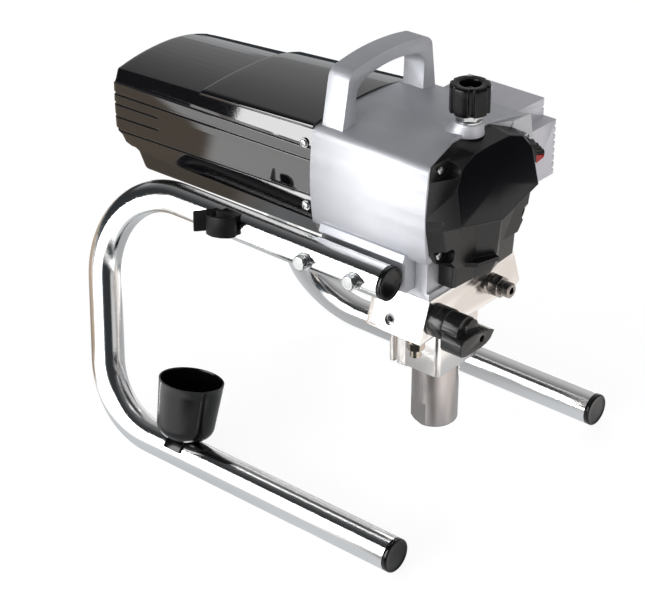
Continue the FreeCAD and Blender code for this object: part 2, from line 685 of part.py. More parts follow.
def switch_parts():
    """Switch body in its pocket and the rocker with three ridges and a red foot."""
    body = switch_box(-9.3, -0.6, -7.3, 5.3, 311.7, 328.8)
    body = body.cut(switch_box(-7.0, 0.0, -5.8, 3.8, 312.7, 327.8))
    pivot = SWITCH_AT + FLANK_NORMAL * -2.8 + Z_AXIS * 321.0
    body = body.cut(rod(1.2 + RUN_GAP, pivot + FLANK_RUN * -6.8, 11.6, FLANK_RUN))
    back = switch_box(-4.6, -1.0, -5.2, 3.2, 316.2, 325.8)
    ridges = [rod(1.2, pivot + FLANK_RUN * -6.6, 11.2, FLANK_RUN)]
    for k, (out, z) in enumerate(((2.6, 324.4), (5.4, 321.0), (8.0, 318.0))):
        start = SWITCH_AT + FLANK_NORMAL * -3.0 + FLANK_RUN * -1.0 + Z_AXIS * z
        ridges.append(rod(2.1, start, out + 3.0, FLANK_NORMAL).fuse(
            rod(2.1, start + FLANK_RUN * 2.4, out + 3.0, FLANK_NORMAL)))
    rocker = back.multiFuse(ridges).removeSplitter()
    profile = [(-3.6, 316.4), (7.8, 316.4), (7.2, 314.0), (0.6, 308.5), (0.4, 314.6), (-3.6, 314.6)]
    loop = [SWITCH_AT + FLANK_NORMAL * o + FLANK_RUN * -3.4 + Z_AXIS * z for o, z in profile]
    mark = Part.Face(Part.makePolygon(loop + loop[:1])).extrude(FLANK_RUN * 6.4)
    return body, rocker, mark.cut(rocker)


switch_body, switch_rocker, switch_mark = switch_parts()
save("switch_body", switch_body)
save("switch_rocker", switch_rocker)
save("switch_mark", switch_mark)


# Pressure knob: six lobes, a dished top with a screw, a nut under it and its control below
def lobed_prism(radius, depth, lobes, turn, z0, z1):
    """Round prism with narrow flutes between its lobes."""
    body = rod(radius, (0, KNOB_Y, z0), z1 - z0, Z_AXIS)
    body = rounded(body, 1.2, lambda e: abs(middle(e).z - z1) < 0.01)
    flutes = []
    reach = radius + 3.2 - depth
    for k in range(lobes):
        a = math.radians(turn + 360.0 * k / lobes)
        start = (reach * math.cos(a), KNOB_Y + reach * math.sin(a), z0 - 1)
        flutes.append(rod(3.2, start, z1 - z0 + 2, Z_AXIS))
    return body.cut(flutes[0].multiFuse(flutes[1:]))


knob = lobed_prism(KNOB_R, 2.0, 6, 10.3, KNOB_LOW_Z, KNOB_LOW_Z + 31)
knob = knob.cut(rod(9.5, (0, KNOB_Y, 392), 9, Z_AXIS)).cut(rod(3.0, (0, KNOB_Y, 360), 29, Z_AXIS))
knob = knob.cut(rod(1.5, (0, KNOB_Y, 385), 10, Z_AXIS)).cut(ring(17.0, 6.0, (0, KNOB_Y, 368), 18, Z_AXIS))
save("pressure_knob", knob)
nut = hexagon(20, (0, KNOB_Y, 361.5), 6, Z_AXIS, 10)
nut = nut.fuse(ring(13, 5.5, (0, KNOB_Y, 357.2), 4.3, Z_AXIS))
save("knob_nut", nut.cut(rod(5.5, (0, KNOB_Y, 356), 14, Z_AXIS)))
control = fused([rod(10, (0, KNOB_Y, 333), 14, Z_AXIS), rod(5.5, (0, KNOB_Y, 347), 21.5, Z_AXIS),
                 box(-7, 7, -170, -157, 336, 344)])
save("pressure_control", control.cut(rod(3.0 + RUN_GAP, (0, KNOB_Y, 338), 40, Z_AXIS)))
knob_shaft = rod(3.0, (0, KNOB_Y, 338.5), 50.5, Z_AXIS).cut(rod(1.5, (0, KNOB_Y, 382), 10, Z_AXIS))
knob_screw = pan_screw(1.5, 2.9, 1.8, 9.0, (0, KNOB_Y, 392), Z_AXIS)
save("control_shaft", Part.makeCompound([knob_shaft, knob_screw]))


# Motor: can, magnets and end plates; the shaft with core, windings, commutator and fan
def plate(y0, y1):
    """Plate that fits inside the casting."""
    return housing_block(-HOUSING_WALL - 0.25, y0, y1)


PLATE_POSTS = [(x, z) for x in (-52.0, 52.0) for z in (340.0, 272.0)]
BOLT_REACH = 33 * math.cos(math.pi / 4)
THROUGH_BOLTS = [(s * BOLT_REACH, AXIS_Z + s * BOLT_REACH) for s in (-1, 1)]
front_plate = plate(-49, -43).cut(rod(11, (0, -50, AXIS_Z), 8, Y_AXIS))
front_plate = front_plate.cut(rod(9, (SIDE_SHAFT_X, -50, SIDE_SHAFT_Z), 8, Y_AXIS))
for y, z in LUG_SPOTS:
    for lug in both_sides(box(-72, -61.5, -60, -20, z - 7.5, z + 7.5)):
        front_plate = front_plate.cut(lug)
for x, z in PLATE_POSTS:
    front_plate = front_plate.cut(rod(2.5, (x, -50, z), 8, Y_AXIS))
for x, z in THROUGH_BOLTS:
    front_plate = front_plate.cut(rod(2.0, (x, -50, z), 8, Y_AXIS))
save("motor_front_plate", front_plate)
rear_plate = ring(MOTOR_R, 11, (0, MOTOR_REAR_Y, AXIS_Z), 8, Y_AXIS)
for x, z in THROUGH_BOLTS:
    rear_plate = rear_plate.cut(rod(2.0, (x, MOTOR_REAR_Y, z), 8, Y_AXIS))
for k in range(4):
    a = math.radians(90 * k)
    spot = (25 * math.cos(a), MOTOR_REAR_Y, AXIS_Z + 25 * math.sin(a))
    rear_plate = rear_plate.cut(rod(6, spot, 8, Y_AXIS))
can_wall = ring(MOTOR_R, MOTOR_R - 2.5, (0, -43, AXIS_Z), MOTOR_REAR_Y + 43, Y_AXIS)
save("motor_can", can_wall.fuse(rear_plate).removeSplitter())


def arc_segment(outer, inner, y0, y1, mid_deg, span_deg):
    """Part of a ring around the motor axis."""
    pie = [(0, AXIS_Z)]
    for k in range(7):
        a = math.radians(mid_deg - span_deg / 2.0 + span_deg * k / 6.0)
        pie.append((2 * outer * math.cos(a), AXIS_Z + 2 * outer * math.sin(a)))
    return ring(outer, inner, (0, y0, AXIS_Z), y1 - y0, Y_AXIS).common(prism_y(pie, y0, y1))


save("magnets", Part.makeCompound([arc_segment(37.5, 27, -20, 62, 90 * k, 66) for k in range(4)]))
through_screws = [pan_screw(2.0, 3.6, 2.2, 155, (x, MOTOR_REAR_Y + 8, z), Y_AXIS) for x, z in THROUGH_BOLTS]
core = rod(25.5, (0, -14, AXIS_Z), 70, Y_AXIS)
slots = []
for k in range(12):
    a = math.radians(30 * k)
    c = vec(20 * math.cos(a), -15, AXIS_Z + 20 * math.sin(a))
    slots.append(rod(3.2, c, 72, Y_AXIS))
    mouth = Part.makeBox(7, 72, 1.6, vec(20, -15, AXIS_Z - 0.8))
    mouth.rotate(vec(0, 0, AXIS_Z), Y_AXIS, -30 * k)
    slots.append(mouth)
core = core.cut(slots[0].multiFuse(slots[1:]))
motor_shaft = rod(SHAFT_R, (0, -66, AXIS_Z), 196, Y_AXIS)
coils = [ring(23, SHAFT_R, (0, y, AXIS_Z), 12, Y_AXIS) for y in (-26, 56)]
coils = [rounded(coil, 3.5, lambda e: e.Length > 100) for coil in coils]
commutator = ring(12, SHAFT_R, (0, 71, AXIS_Z), 20, Y_AXIS)
for k in range(12):
    cutter = Part.makeBox(3, 16, 0.6, vec(11, 73, AXIS_Z - 0.3))
    cutter.rotate(vec(0, 0, AXIS_Z), Y_AXIS, 30 * k + 15)
    commutator = commutator.cut(cutter)
save("windings", Part.makeCompound(coils + [commutator]))
blades = [ring(35, 9, (0, 111, AXIS_Z), 2, Y_AXIS), ring(9, SHAFT_R, (0, 109, AXIS_Z), 16, Y_AXIS)]
for k in range(9):
    blade = Part.makeBox(27, 14, 1.6, vec(8, 111, AXIS_Z - 0.8))
    blade.rotate(vec(0, 0, AXIS_Z), Y_AXIS, 40 * k)
    blades.append(blade)
save("fan", fused(blades))
holders = []
brushes = []
for s in (-1, 1):
    x0, x1 = sorted((s * 14, s * 36.8))
    holder = box(x0, x1, 75, 87, AXIS_Z - 6, AXIS_Z + 6)
    holders.append(holder.cut(box(x0 - 1, x1 + 1, 77, 85, AXIS_Z - 4, AXIS_Z + 4)))
    x0, x1 = sorted((s * 12.1, s * 28))
    brush = box(x0, x1, 77, 85, AXIS_Z - 4, AXIS_Z + 4)
    brushes.append(brush.cut(rod(12.05, (0, 76, AXIS_Z), 10, Y_AXIS)))
save("brushes", Part.makeCompound(holders + brushes))


# Gear train: two pairs of spur gears between two plates
MESH = math.atan2(SIDE_SHAFT_Z - AXIS_Z, SIDE_SHAFT_X)


def gear(teeth, module, x, z, y0, y1, phase, bore):
    """Spur gear with straight-sided teeth and some backlash; phase points at a tooth."""
    pitch = teeth * module / 2.0
    root, tip = pitch - 1.25 * module, pitch + 0.9 * module
    half = 0.44 * math.pi / teeth
    lean = math.tan(math.radians(20.0)) * module / pitch
    wide, narrow = half + 1.2 * lean, half - 0.9 * lean
    loop = []
    for k in range(teeth):
        a = phase + 2.0 * math.pi * k / teeth
        for r, b in ((root, -wide), (tip, -narrow), (tip, narrow), (root, wide)):
            loop.append((x + r * math.cos(a + b), z + r * math.sin(a + b)))
    wheel = prism_y(loop, y0, y1)
    return wheel.cut(rod(bore, (x, y0 - 1, z), y1 - y0 + 2, Y_AXIS)) if bore else wheel


motor_pinion = gear(PINION_TEETH, FIRST_MODULE, 0, AXIS_Z, -64, -53, MESH + math.pi / PINION_TEETH, 0)
save("rotor", fused([motor_shaft, core, motor_pinion]))
wheel = gear(WHEEL_TEETH, FIRST_MODULE, SIDE_SHAFT_X, SIDE_SHAFT_Z, -62, -54, MESH + math.pi, 4.0)
for k in range(6):
    a = math.radians(60 * k)
    spot = (SIDE_SHAFT_X + 18 * math.cos(a), -63, SIDE_SHAFT_Z + 18 * math.sin(a))
    wheel = wheel.cut(rod(5, spot, 10, Y_AXIS))
small_phase = MESH + math.pi + math.pi / SMALL_TEETH
small = gear(SMALL_TEETH, SECOND_MODULE, SIDE_SHAFT_X, SIDE_SHAFT_Z, -95, -81, small_phase, 0)
save("side_shaft", fused([small, wheel, rod(4.0, (SIDE_SHAFT_X, -105, SIDE_SHAFT_Z), 61, Y_AXIS)]))
save("crank_wheel", gear(CRANK_TEETH, SECOND_MODULE, 0, AXIS_Z, -94, -82, MESH, 8.0))
crank = [rod(8.0, (0, -108, AXIS_Z), 37.5, Y_AXIS), rod(17.0, (0, -115, AXIS_Z), 7, Y_AXIS),
         rod(5.0, (CRANK_THROW, -141, AXIS_Z), 26, Y_AXIS)]
save("crankshaft", fused(crank))
rear_gear_plate = plate(-78, -70).cut(rod(14, (0, -79, AXIS_Z), 10, Y_AXIS))
front_gear_plate = plate(-106, -98).cut(rod(14, (0, -107, AXIS_Z), 10, Y_AXIS))
for x, z in PLATE_POSTS:
    rear_gear_plate = rear_gear_plate.cut(rod(2.5, (x, -79, z), 10, Y_AXIS))
    front_gear_plate = front_gear_plate.cut(rod(2.5, (x, -107, z), 10, Y_AXIS))
side_hole = rod(9, (SIDE_SHAFT_X, -110, SIDE_SHAFT_Z), 50, Y_AXIS)
save("gear_plates", Part.makeCompound([rear_gear_plate.cut(side_hole), front_gear_plate.cut(side_hole)]))
bearings = [ring(14, 8 + RUN_GAP, (0, y, AXIS_Z), 8, Y_AXIS) for y in (-78, -106)]
for y, t in ((-49, 6), (-78, 8), (-106, 8)):
    bearings.append(ring(9, 4 + RUN_GAP, (SIDE_SHAFT_X, y, SIDE_SHAFT_Z), t, Y_AXIS))
for y, t in ((-49, 6), (MOTOR_REAR_Y, 8)):
    bearings.append(ring(11, SHAFT_R + RUN_GAP, (0, y, AXIS_Z), t, Y_AXIS))
save("bearings", Part.makeCompound(bearings))
posts = [ring(4.5, 2.5, (x, y, z), t, Y_AXIS) for x, z in PLATE_POSTS for y, t in ((-70, 21), (-98, 20))]
save("plate_spacers", Part.makeCompound(posts))
plate_screws = [pan_screw(2.5, 4.4, 2.6, 62, (x, -106, z), -Y_AXIS) for x, z in PLATE_POSTS]
save("inner_screws", Part.makeCompound(plate_screws + box_screws + through_screws))
block = box(-2, 14, -140, -118, AXIS_Z - 8, AXIS_Z + 8)
block = rounded(block, 1.0, lambda e: along(e, Y_AXIS))
save("slider_block", block.cut(rod(5.0 + RUN_GAP, (CRANK_THROW, -141, AXIS_Z), 24, Y_AXIS)))
yoke = box(-21, 21, -141, -117, AXIS_Z - 27, AXIS_Z + 27)
yoke = rounded(yoke, 4.0, lambda e: along(e, Y_AXIS))
window = box(-14.6, 14.6, -142, -116, AXIS_Z - 20.6, AXIS_Z + 20.6)
yoke = yoke.cut(rounded(window, 2.0, lambda e: along(e, Y_AXIS)))
save("yoke", yoke.cut(rod(5, (0, PUMP_Y, AXIS_Z - 28), 10, Z_AXIS)))


# Fluid section: manifold, pump block, intake, piston and check valves
def manifold():
    """Trapezoid block with its bores and passages."""
    outline = [(-75.7, MANIFOLD_LOW_Z), (68, MANIFOLD_LOW_Z), (74.5, 181),
               (62.4, MANIFOLD_TOP_Z), (-62.4, MANIFOLD_TOP_Z)]
    body = prism_y(outline, -167, -106)
    body = rounded(body, 1.0, lambda e: along(e, Y_AXIS))
    cuts = [rod(13, (0, PUMP_Y, 176), 30, Z_AXIS), rod(15, (0, PUMP_Y, 204), 14, Z_AXIS)]
    cuts += [rod(7, (OUTLET_X, -168, OUTLET_Z), 13, Y_AXIS), rod(4, (OUTLET_X, -160, OUTLET_Z), 34, Y_AXIS)]
    cuts += [rod(4, (OUTLET_X, PUMP_Y, 182), 15, Z_AXIS), rod(4, (8, PUMP_Y, 182), OUTLET_X - 8, X_AXIS)]
    cuts += [rod(6.5, (VALVE_X, -168, VALVE_Z), 20, Y_AXIS), rod(3, (VALVE_X, -150, VALVE_Z), 15, Y_AXIS)]
    cuts += [rod(3, (VALVE_X, -138, 182), 12, Z_AXIS), rod(3, (VALVE_X, -138, 182), 46, X_AXIS)]
    cuts += [rod(5, (-60, -151, 176), 10, Z_AXIS), rod(2.5, (-60, -151, 180), 14, Z_AXIS)]
    cuts += [rod(5.5, (-78, -130, 188.7), 18, X_AXIS), rod(8, (-34, PUMP_Y, 206), 11, Z_AXIS)]
    for x in (-17, 17):
        for y in (-148, -113):
            cuts += [rod(2.5, (x, y, 176), 36, Z_AXIS), rod(4.8, (x, y, 210), 7, Z_AXIS)]
    for x in (-40, 40):
        for y in (-159, -112):
            cuts += [rod(2.5, (x, y, 176), 42, Z_AXIS), rod(4.8, (x, y, 176), 6.2, Z_AXIS)]
    return body.cut(cuts[0].multiFuse(cuts[1:]))


def socket_bolt(radius, head_r, head_t, length, start, axis):
    """Socket head bolt; start is under the head, axis points out of the head."""
    seat = vec(*start)
    bolt = fused([rod(head_r, seat, head_t, axis), rod(radius, seat - axis * length, length, axis)])
    return bolt.cut(hexagon(head_r * 1.1, seat + axis * (head_t * 0.35), head_t, axis))


save("fluid_manifold", manifold())
block_bolts = [socket_bolt(2.5, 4.5, 5, 52, (x, y, 210), Z_AXIS) for x in (-17, 17) for y in (-148, -113)]
for x in (-40, 40):
    for y in (-159, -112):
        block_bolts.append(socket_bolt(2.5, 4.5, 5, 42, (x, y, 182.2), -Z_AXIS))
save("manifold_bolts", Part.makeCompound(block_bolts))
block_front = box(-31, 31, -155, -117, BLOCK_LOW_Z, MANIFOLD_LOW_Z)
block_front = rounded(block_front, 5.0, lambda e: along(e, Z_AXIS) and middle(e).y < -150)
block_round = rod(27, (0, -124, BLOCK_LOW_Z), MANIFOLD_LOW_Z - BLOCK_LOW_Z, Z_AXIS)
pump_block = fused([block_front, block_round])
pump_block = pump_block.cut(rod(16, (0, PUMP_Y, 117), 48, Z_AXIS)).cut(rod(18, (0, PUMP_Y, 117), 9, Z_AXIS))
pump_block = pump_block.cut(rod(13, (0, PUMP_Y, 117), 61, Z_AXIS))
for x in (-17, 17):
    for y in (-148, -113):
        pump_block = pump_block.cut(rod(2.5, (x, y, 157.8), 20, Z_AXIS))
save("pump_block", pump_block)
intake = rod(INTAKE_R, (0, PUMP_Y, INTAKE_LOW_Z), BLOCK_LOW_Z - INTAKE_LOW_Z, Z_AXIS)
intake = intake.makeChamfer(2.5, [e for e in intake.Edges if abs(middle(e).z - INTAKE_LOW_Z) < 0.01])
for s in (-1, 1):
    flat = box(18.6, 30, -160, -100, INTAKE_LOW_Z - 1, 77)
    flat.rotate(vec(0, PUMP_Y, 0), Z_AXIS, 0 if s > 0 else 180)
    intake = intake.cut(flat)
intake = intake.fuse(rod(18, (0, PUMP_Y, 110), 16, Z_AXIS))
intake = intake.cut(rod(14, (0, PUMP_Y, 50), 30, Z_AXIS)).cut(rod(12, (0, PUMP_Y, 70), 20, Z_AXIS))
save("intake_housing", intake.cut(rod(16, (0, PUMP_Y, 84), 50, Z_AXIS)))
seat_bore = rod(6, (0, PUMP_Y, 83), 8, Z_AXIS)
save("inlet_seat", rod(16, (0, PUMP_Y, 84), 6, Z_AXIS).cut(seat_bore))
INLET_BALL_Z = 90.0 + math.sqrt(64.0 - 36.0) + 0.02
save("inlet_ball", Part.makeSphere(8.0, vec(0, PUMP_Y, INLET_BALL_Z)))
cage = rod(16, (0, PUMP_Y, 90), 18, Z_AXIS).cut(rod(9.5, (0, PUMP_Y, 89), 16.6, Z_AXIS))
for k in range(4):
    a = math.radians(45 + 90 * k)
    cage = cage.cut(rod(3.0, (7 * math.cos(a), PUMP_Y + 7 * math.sin(a), 104), 6, Z_AXIS))
save("inlet_cage", cage)
save("cylinder_sleeve", ring(16, 12, (0, PUMP_Y, 108), 57, Z_AXIS))
YOKE_LOW_Z = AXIS_Z - 27
piston = fused([rod(7, (0, PUMP_Y, 148), YOKE_LOW_Z - 148, Z_AXIS),
                rod(5, (0, PUMP_Y, YOKE_LOW_Z), 5.9, Z_AXIS),
                rod(9, (0, PUMP_Y, 124), 24, Z_AXIS),
                rod(11.4, (0, PUMP_Y, 146), 3, Z_AXIS)])
piston = piston.cut(rod(5.6, (0, PUMP_Y, 123), 16, Z_AXIS)).cut(rod(3.4, (0, PUMP_Y, 138), 20, Z_AXIS))
piston = piston.cut(rod(2.4, (-12, PUMP_Y, 155), 24, X_AXIS))
save("piston_rod", piston)
save("piston_seal", ring(12 - RUN_GAP, 9, (0, PUMP_Y, 126), 20, Z_AXIS))
piston_seat = fused([rod(11.4, (0, PUMP_Y, 119), 5, Z_AXIS), rod(5.6, (0, PUMP_Y, 124), 4, Z_AXIS)])
save("piston_seat", piston_seat.cut(rod(3.2, (0, PUMP_Y, 118), 12, Z_AXIS)))
PISTON_BALL_Z = 128.0 + math.sqrt(4.6 ** 2 - 3.2 ** 2) + 0.02
save("piston_ball", Part.makeSphere(4.6, vec(0, PUMP_Y, PISTON_BALL_Z)))
packings = [ring(13, 7.5, (0, PUMP_Y, 186), 2.9, Z_AXIS)]
for k in range(5):
    packings.append(ring(13, 7 + RUN_GAP, (0, PUMP_Y, 189 + 3.0 * k), 2.9, Z_AXIS))
save("upper_packings", Part.makeCompound(packings))
packing_nut = ring(15, 7.6, (0, PUMP_Y, 204), 12, Z_AXIS)
packing_nut = packing_nut.fuse(ring(18.5, 7.6, (0, PUMP_Y, 216), 7, Z_AXIS))
for k in range(6):
    notch = box(16, 20, PUMP_Y - 2, PUMP_Y + 2, 216.5, 224)
    notch.rotate(vec(0, PUMP_Y, 0), Z_AXIS, 60 * k)
    packing_nut = packing_nut.cut(notch)
save("packing_nut", packing_nut)
sensor = [rod(8, (-34, PUMP_Y, 206), 30, Z_AXIS), rod(5.5, (-34, PUMP_Y, 236), 12, Z_AXIS)]
save("pressure_sensor", fused(sensor))
plug = rod(5.5, (-70.4, -130, 188.7), 10.4, X_AXIS)
save("manifold_plug", plug.cut(hexagon(5.5, (-70.5, -130, 188.7), 5, X_AXIS)))

outlet = fused([rod(7, (OUTLET_X, -167, OUTLET_Z), 12, Y_AXIS),
                rod(10, (OUTLET_X, -170.5, OUTLET_Z), 3.5, Y_AXIS),
                hexagon(19, (OUTLET_X, -180.5, OUTLET_Z), 10, Y_AXIS, 10),
                rod(7.6, (OUTLET_X, -183, OUTLET_Z), 2.5, Y_AXIS),
                rod(6.58, (OUTLET_X, -191, OUTLET_Z), 8, Y_AXIS)])
save("outlet_fitting", outlet.cut(rod(3.2, (OUTLET_X, -192, OUTLET_Z), 40, Y_AXIS)))
nipple = fused([rod(5, (-60, -151, MANIFOLD_LOW_Z), 9, Z_AXIS), rod(6.0, (-60, -151, 172.5), 4.2, Z_AXIS),
                rod(8.3, (-60, -151, 170), 2.5, Z_AXIS), hexagon(15, (-60, -151, 162), 8, Z_AXIS, 15),
                rod(5.4, (-60, -151, 154), 8, Z_AXIS)])
save("return_nipple", nipple.cut(rod(2.8, (-60, -151, 150), 40, Z_AXIS)))

valve_body = fused([rod(15, (VALVE_X, -183, VALVE_Z), 16, Y_AXIS),
                    rod(6.5, (VALVE_X, -167, VALVE_Z), 18, Y_AXIS)])
valve_body = valve_body.cut(rod(6.5, (VALVE_X, -184, VALVE_Z), 13, Y_AXIS))
save("prime_valve_body", valve_body.cut(rod(2.5 + RUN_GAP, (VALVE_X, -184, VALVE_Z), 40, Y_AXIS)))
lever = [(-72, 182), (-70, 178.5), (-64, 176.8), (-44, 176), (-34, 177.2), (-28, 180), (-22.5, 186.5),
         (-31, 190.5), (-41, 193), (-52, 194.5), (-68, 194), (-72, 190)]
lever = prism_y(lever, -209.5, -187)
lever = rounded(lever, 1.0, lambda e: abs(middle(e).y + 209.5) < 0.01)
hub = rod(14.6, (VALVE_X, -200, VALVE_Z), 16.8, Y_AXIS)
hub_core = rod(14.0, (VALVE_X, -202, VALVE_Z), 20, Y_AXIS)
hub = hub.cut(box(-80, -20, -201, -183.5, 190, 215).cut(hub_core))
rib = rod(8.5, (VALVE_X + 5, -203, VALVE_Z + 2), 19.8, Y_AXIS).cut(box(-80, -20, -204, -180, 170, 190))
handle = fused([lever, hub, rib]).cut(rod(3.4, (-41.5, -212, 185.5), 12, Y_AXIS))
handle = handle.cut(rod(2.5 + RUN_GAP, (VALVE_X, -202.2, VALVE_Z), 20, Y_AXIS))
save("prime_handle", handle)
stem = rod(2.5, (VALVE_X, -199.8, VALVE_Z), 53, Y_AXIS)
save("valve_stem", stem.fuse(cone(2.5, 1.2, (VALVE_X, -146.8, VALVE_Z), 4, Y_AXIS)).removeSplitter())


def valve_spring(coil_r, wire_r, pitch, turns, steps):
    """Coil spring as a ruled solid through eight-sided wire sections."""
    loops = []
    for k in range(int(turns * steps) + 1):
        a = 2.0 * math.pi * k / steps
        loop = []
        for j in range(8):
            b = 2.0 * math.pi * j / 8
            r = coil_r + wire_r * math.cos(b)
            depth = pitch * k / steps + wire_r * math.sin(b)
            loop.append((VALVE_X + r * math.cos(a), -182.2 + depth, VALVE_Z - r * math.sin(a)))
        loops.append(loop)
    return ruled(loops)


save("valve_spring", valve_spring(4.6, 0.6, 2.4, 4.25, 16))


# Drip cup on the left foot and hose clip on the left arm
CUP_Y = 49.4
CUP_LEAN = 12.5


def drip_cup():
    """Thin cup with a rounded base; it snaps onto the foot tube and can be turned around it."""
    outer = Part.makeCone(27.5, 31.0, 57.0, vec(0, 0, TUBE_R + 0.4), Z_AXIS)
    outer = rounded(outer, 13.0, lambda e: abs(middle(e).z - TUBE_R - 0.4) < 0.01)
    inner = Part.makeCone(25.9, 29.5, 57.0, vec(0, 0, TUBE_R + 2.4), Z_AXIS)
    inner = rounded(inner, 11.5, lambda e: abs(middle(e).z - TUBE_R - 2.4) < 0.01)
    cup = outer.cut(inner)
    rib = Part.makeBox(1.2, 1.8, 44.0, vec(28.0, -0.9, TUBE_R + 13.0))
    rib.rotate(vec(0, 0, TUBE_R), Y_AXIS, 3.5)
    rib.rotate(vec(0, 0, 0), Z_AXIS, 243.0)
    rib = rib.cut(inner)
    grip = ring(TUBE_R + 2.6, TUBE_R + 0.1, (0, -10, 0), 20, Y_AXIS)
    mouth = [(0, 0)]
    for a in (162, 200, 240, 280, 331):
        mouth.append((60 * math.cos(math.radians(a)), 60 * math.sin(math.radians(a))))
    mouth = prism_y(mouth, -11, 11)
    neck = box(-6, 6, -10, 10, TUBE_R, TUBE_R + 2.4).cut(rod(TUBE_R + 0.1, (0, -11, 0), 22, Y_AXIS))
    cup = cup.multiFuse([rib, grip.cut(mouth), neck]).cut(rod(TUBE_R + 0.1, (0, -40, 0), 80, Y_AXIS))
    cup = max(cup.Solids, key=lambda s: s.Volume)
    cup.rotate(vec(0, 0, 0), Y_AXIS, CUP_LEAN)
    cup.translate(vec(-FOOT_X, CUP_Y, TUBE_R))
    return cup


save("drip_cup", drip_cup())


def hose_clip():
    """Open hook for a hose, on a saddle that is screwed to the arm tube."""
    outer = [(-108, 18), (-112, 17.2), (-117.5, 20), (-122, 26), (-124.6, 33), (-124.4, 38), (-123.4, 42),
             (-121.2, 41.2), (-122.0, 37.4), (-122.2, 33.6), (-120, 27.2), (-116, 22), (-111.5, 20.4),
             (-111.5, 40.2), (-125.8, 51.6), (-127.2, 53.6), (-126.2, 55.0), (-110.6, 43.6), (-108, 43.6)]
    clip = prism_z(outer, 237, 257)
    saddle = box(-109, -96, 21, 40.5, 238.5, 254)
    clip = clip.fuse(saddle).cut(rod(TUBE_R, (-ARM_X, 0, ARM_Z), 80, Y_AXIS))
    clip = clip.cut(rod(2.0, (-115, 31, 246), 20, X_AXIS))
    return max(clip.removeSplitter().Solids, key=lambda s: s.Volume)


save("hose_clip", hose_clip())
clip_screw = pan_screw(2.0, 3.6, 1.8, 12.0, CLIP_SCREW_AT, -X_AXIS)
save("outer_screws", Part.makeCompound(cover_side_screws() + cover_bolts + [clip_screw]))
print("nodes", len(SAVED))
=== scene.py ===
# %% [markdown]
# # Looks of a skid-mounted airless paint sprayer
# The solids come packed from CAD as a fixed frame, in metres. This lesson dresses them: a
# piece whose shape is good enough keeps its mesh and only gets a finish, and a piece that
# the eye rests on is worked out again as a numpy surface with softer edges and finer detail.

# %% Load the frame and keep its box
import json
import math

import bmesh
import bpy
import numpy as np
from mathutils import Matrix, Vector


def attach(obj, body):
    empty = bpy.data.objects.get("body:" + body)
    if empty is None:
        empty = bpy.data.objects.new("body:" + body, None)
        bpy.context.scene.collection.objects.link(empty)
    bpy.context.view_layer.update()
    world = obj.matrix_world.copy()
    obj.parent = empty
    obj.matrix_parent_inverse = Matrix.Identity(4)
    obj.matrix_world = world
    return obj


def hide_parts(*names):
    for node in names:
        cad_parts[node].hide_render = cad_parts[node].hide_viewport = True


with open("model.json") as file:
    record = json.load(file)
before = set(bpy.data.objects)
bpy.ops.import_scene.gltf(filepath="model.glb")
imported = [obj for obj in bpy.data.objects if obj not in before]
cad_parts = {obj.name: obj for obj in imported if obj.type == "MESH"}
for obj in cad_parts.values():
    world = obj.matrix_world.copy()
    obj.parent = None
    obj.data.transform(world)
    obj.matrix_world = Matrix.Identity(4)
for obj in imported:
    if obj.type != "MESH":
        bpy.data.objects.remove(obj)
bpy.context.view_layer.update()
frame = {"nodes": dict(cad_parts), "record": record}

MM = 0.001
nodes = frame["nodes"]

# %% [markdown]
# ## Grids and skins
# A surface is an array of points in rows and columns, in millimetres. One helper joins the
# grid into faces, another closes its ends. Whether a closed skin faces outwards is told by
# the sign of its volume, so no shape needs a remembered winding order.


# %% Grids and end caps
def stack(x, y, z):
    """Points from three arrays."""
    return np.stack(np.broadcast_arrays(x, y, z), -1).astype(float)


def unit(v):
    """Vectors divided by their lengths."""
    return v / np.maximum(np.linalg.norm(v, axis=-1, keepdims=True), 1e-9)


def curve(a, c, b, t):
    """(1-t)^2*a + 2t(1-t)*c + t^2*b: it leaves a towards c and reaches b from there."""
    return (1 - t) ** 2 * a + 2 * t * (1 - t) * c + t * t * b


def mirrored(points):
    """The same points at -x, in reverse order."""
    return [(-p[0], *p[1:]) for p in points[::-1]]


def grid_faces(rows, cols, wrap_rows=False, wrap_cols=True):
    """Quads between neighbours of a grid; a wrapped direction joins its last line to its first."""
    i, j = np.meshgrid(np.arange(rows - (not wrap_rows)), np.arange(cols - (not wrap_cols)), indexing="ij")
    k, m = (i + 1) % rows, (j + 1) % cols
    return np.stack([i * cols + j, i * cols + m, k * cols + m, k * cols + j], -1).reshape(-1, 4).tolist()


def skin(grid, wrap_rows=False):
    """Closed skin from a grid: quads, and one flat face over the first and the last row."""
    rows, cols = grid.shape[:2]
    faces = grid_faces(rows, cols, wrap_rows)
    if not wrap_rows:
        faces += [list(range(cols))[::-1], list(range((rows - 1) * cols, rows * cols))]
    return grid.reshape(-1, 3), faces


def outward(points, faces):
    """Turn the faces round where the sum of the signed cones over them is negative."""
    tri = np.array([(f[0], f[k], f[k + 1]) for f in faces for k in range(1, len(f) - 1)])
    a, b, c = points[tri[:, 0]], points[tri[:, 1]], points[tri[:, 2]]
    volume = np.einsum("ij,ij->i", a, np.cross(b, c)).sum()
    return faces if volume > 0 else [f[::-1] for f in faces]


# %% [markdown]
# A skin becomes an object that rides on its body and hides the solids it stands for.
# Large castings and mouldings keep the mesh of their solid: a copy is merged and bevelled.

# %% Objects from skins, and softened copies of CAD solids
MERGE, SLIVER, FLAT = 2e-6, 1e-6, math.radians(0.8)
BEVEL_ANGLE = math.radians(28)


def linked(name, data):
    """New object in the scene."""
    made = bpy.data.objects.new(name, data)
    bpy.context.collection.objects.link(made)
    return made


def configured(target, settings):
    """Target with every setting written to it."""
    for key, value in settings.items():
        setattr(target, key, value)
    return target


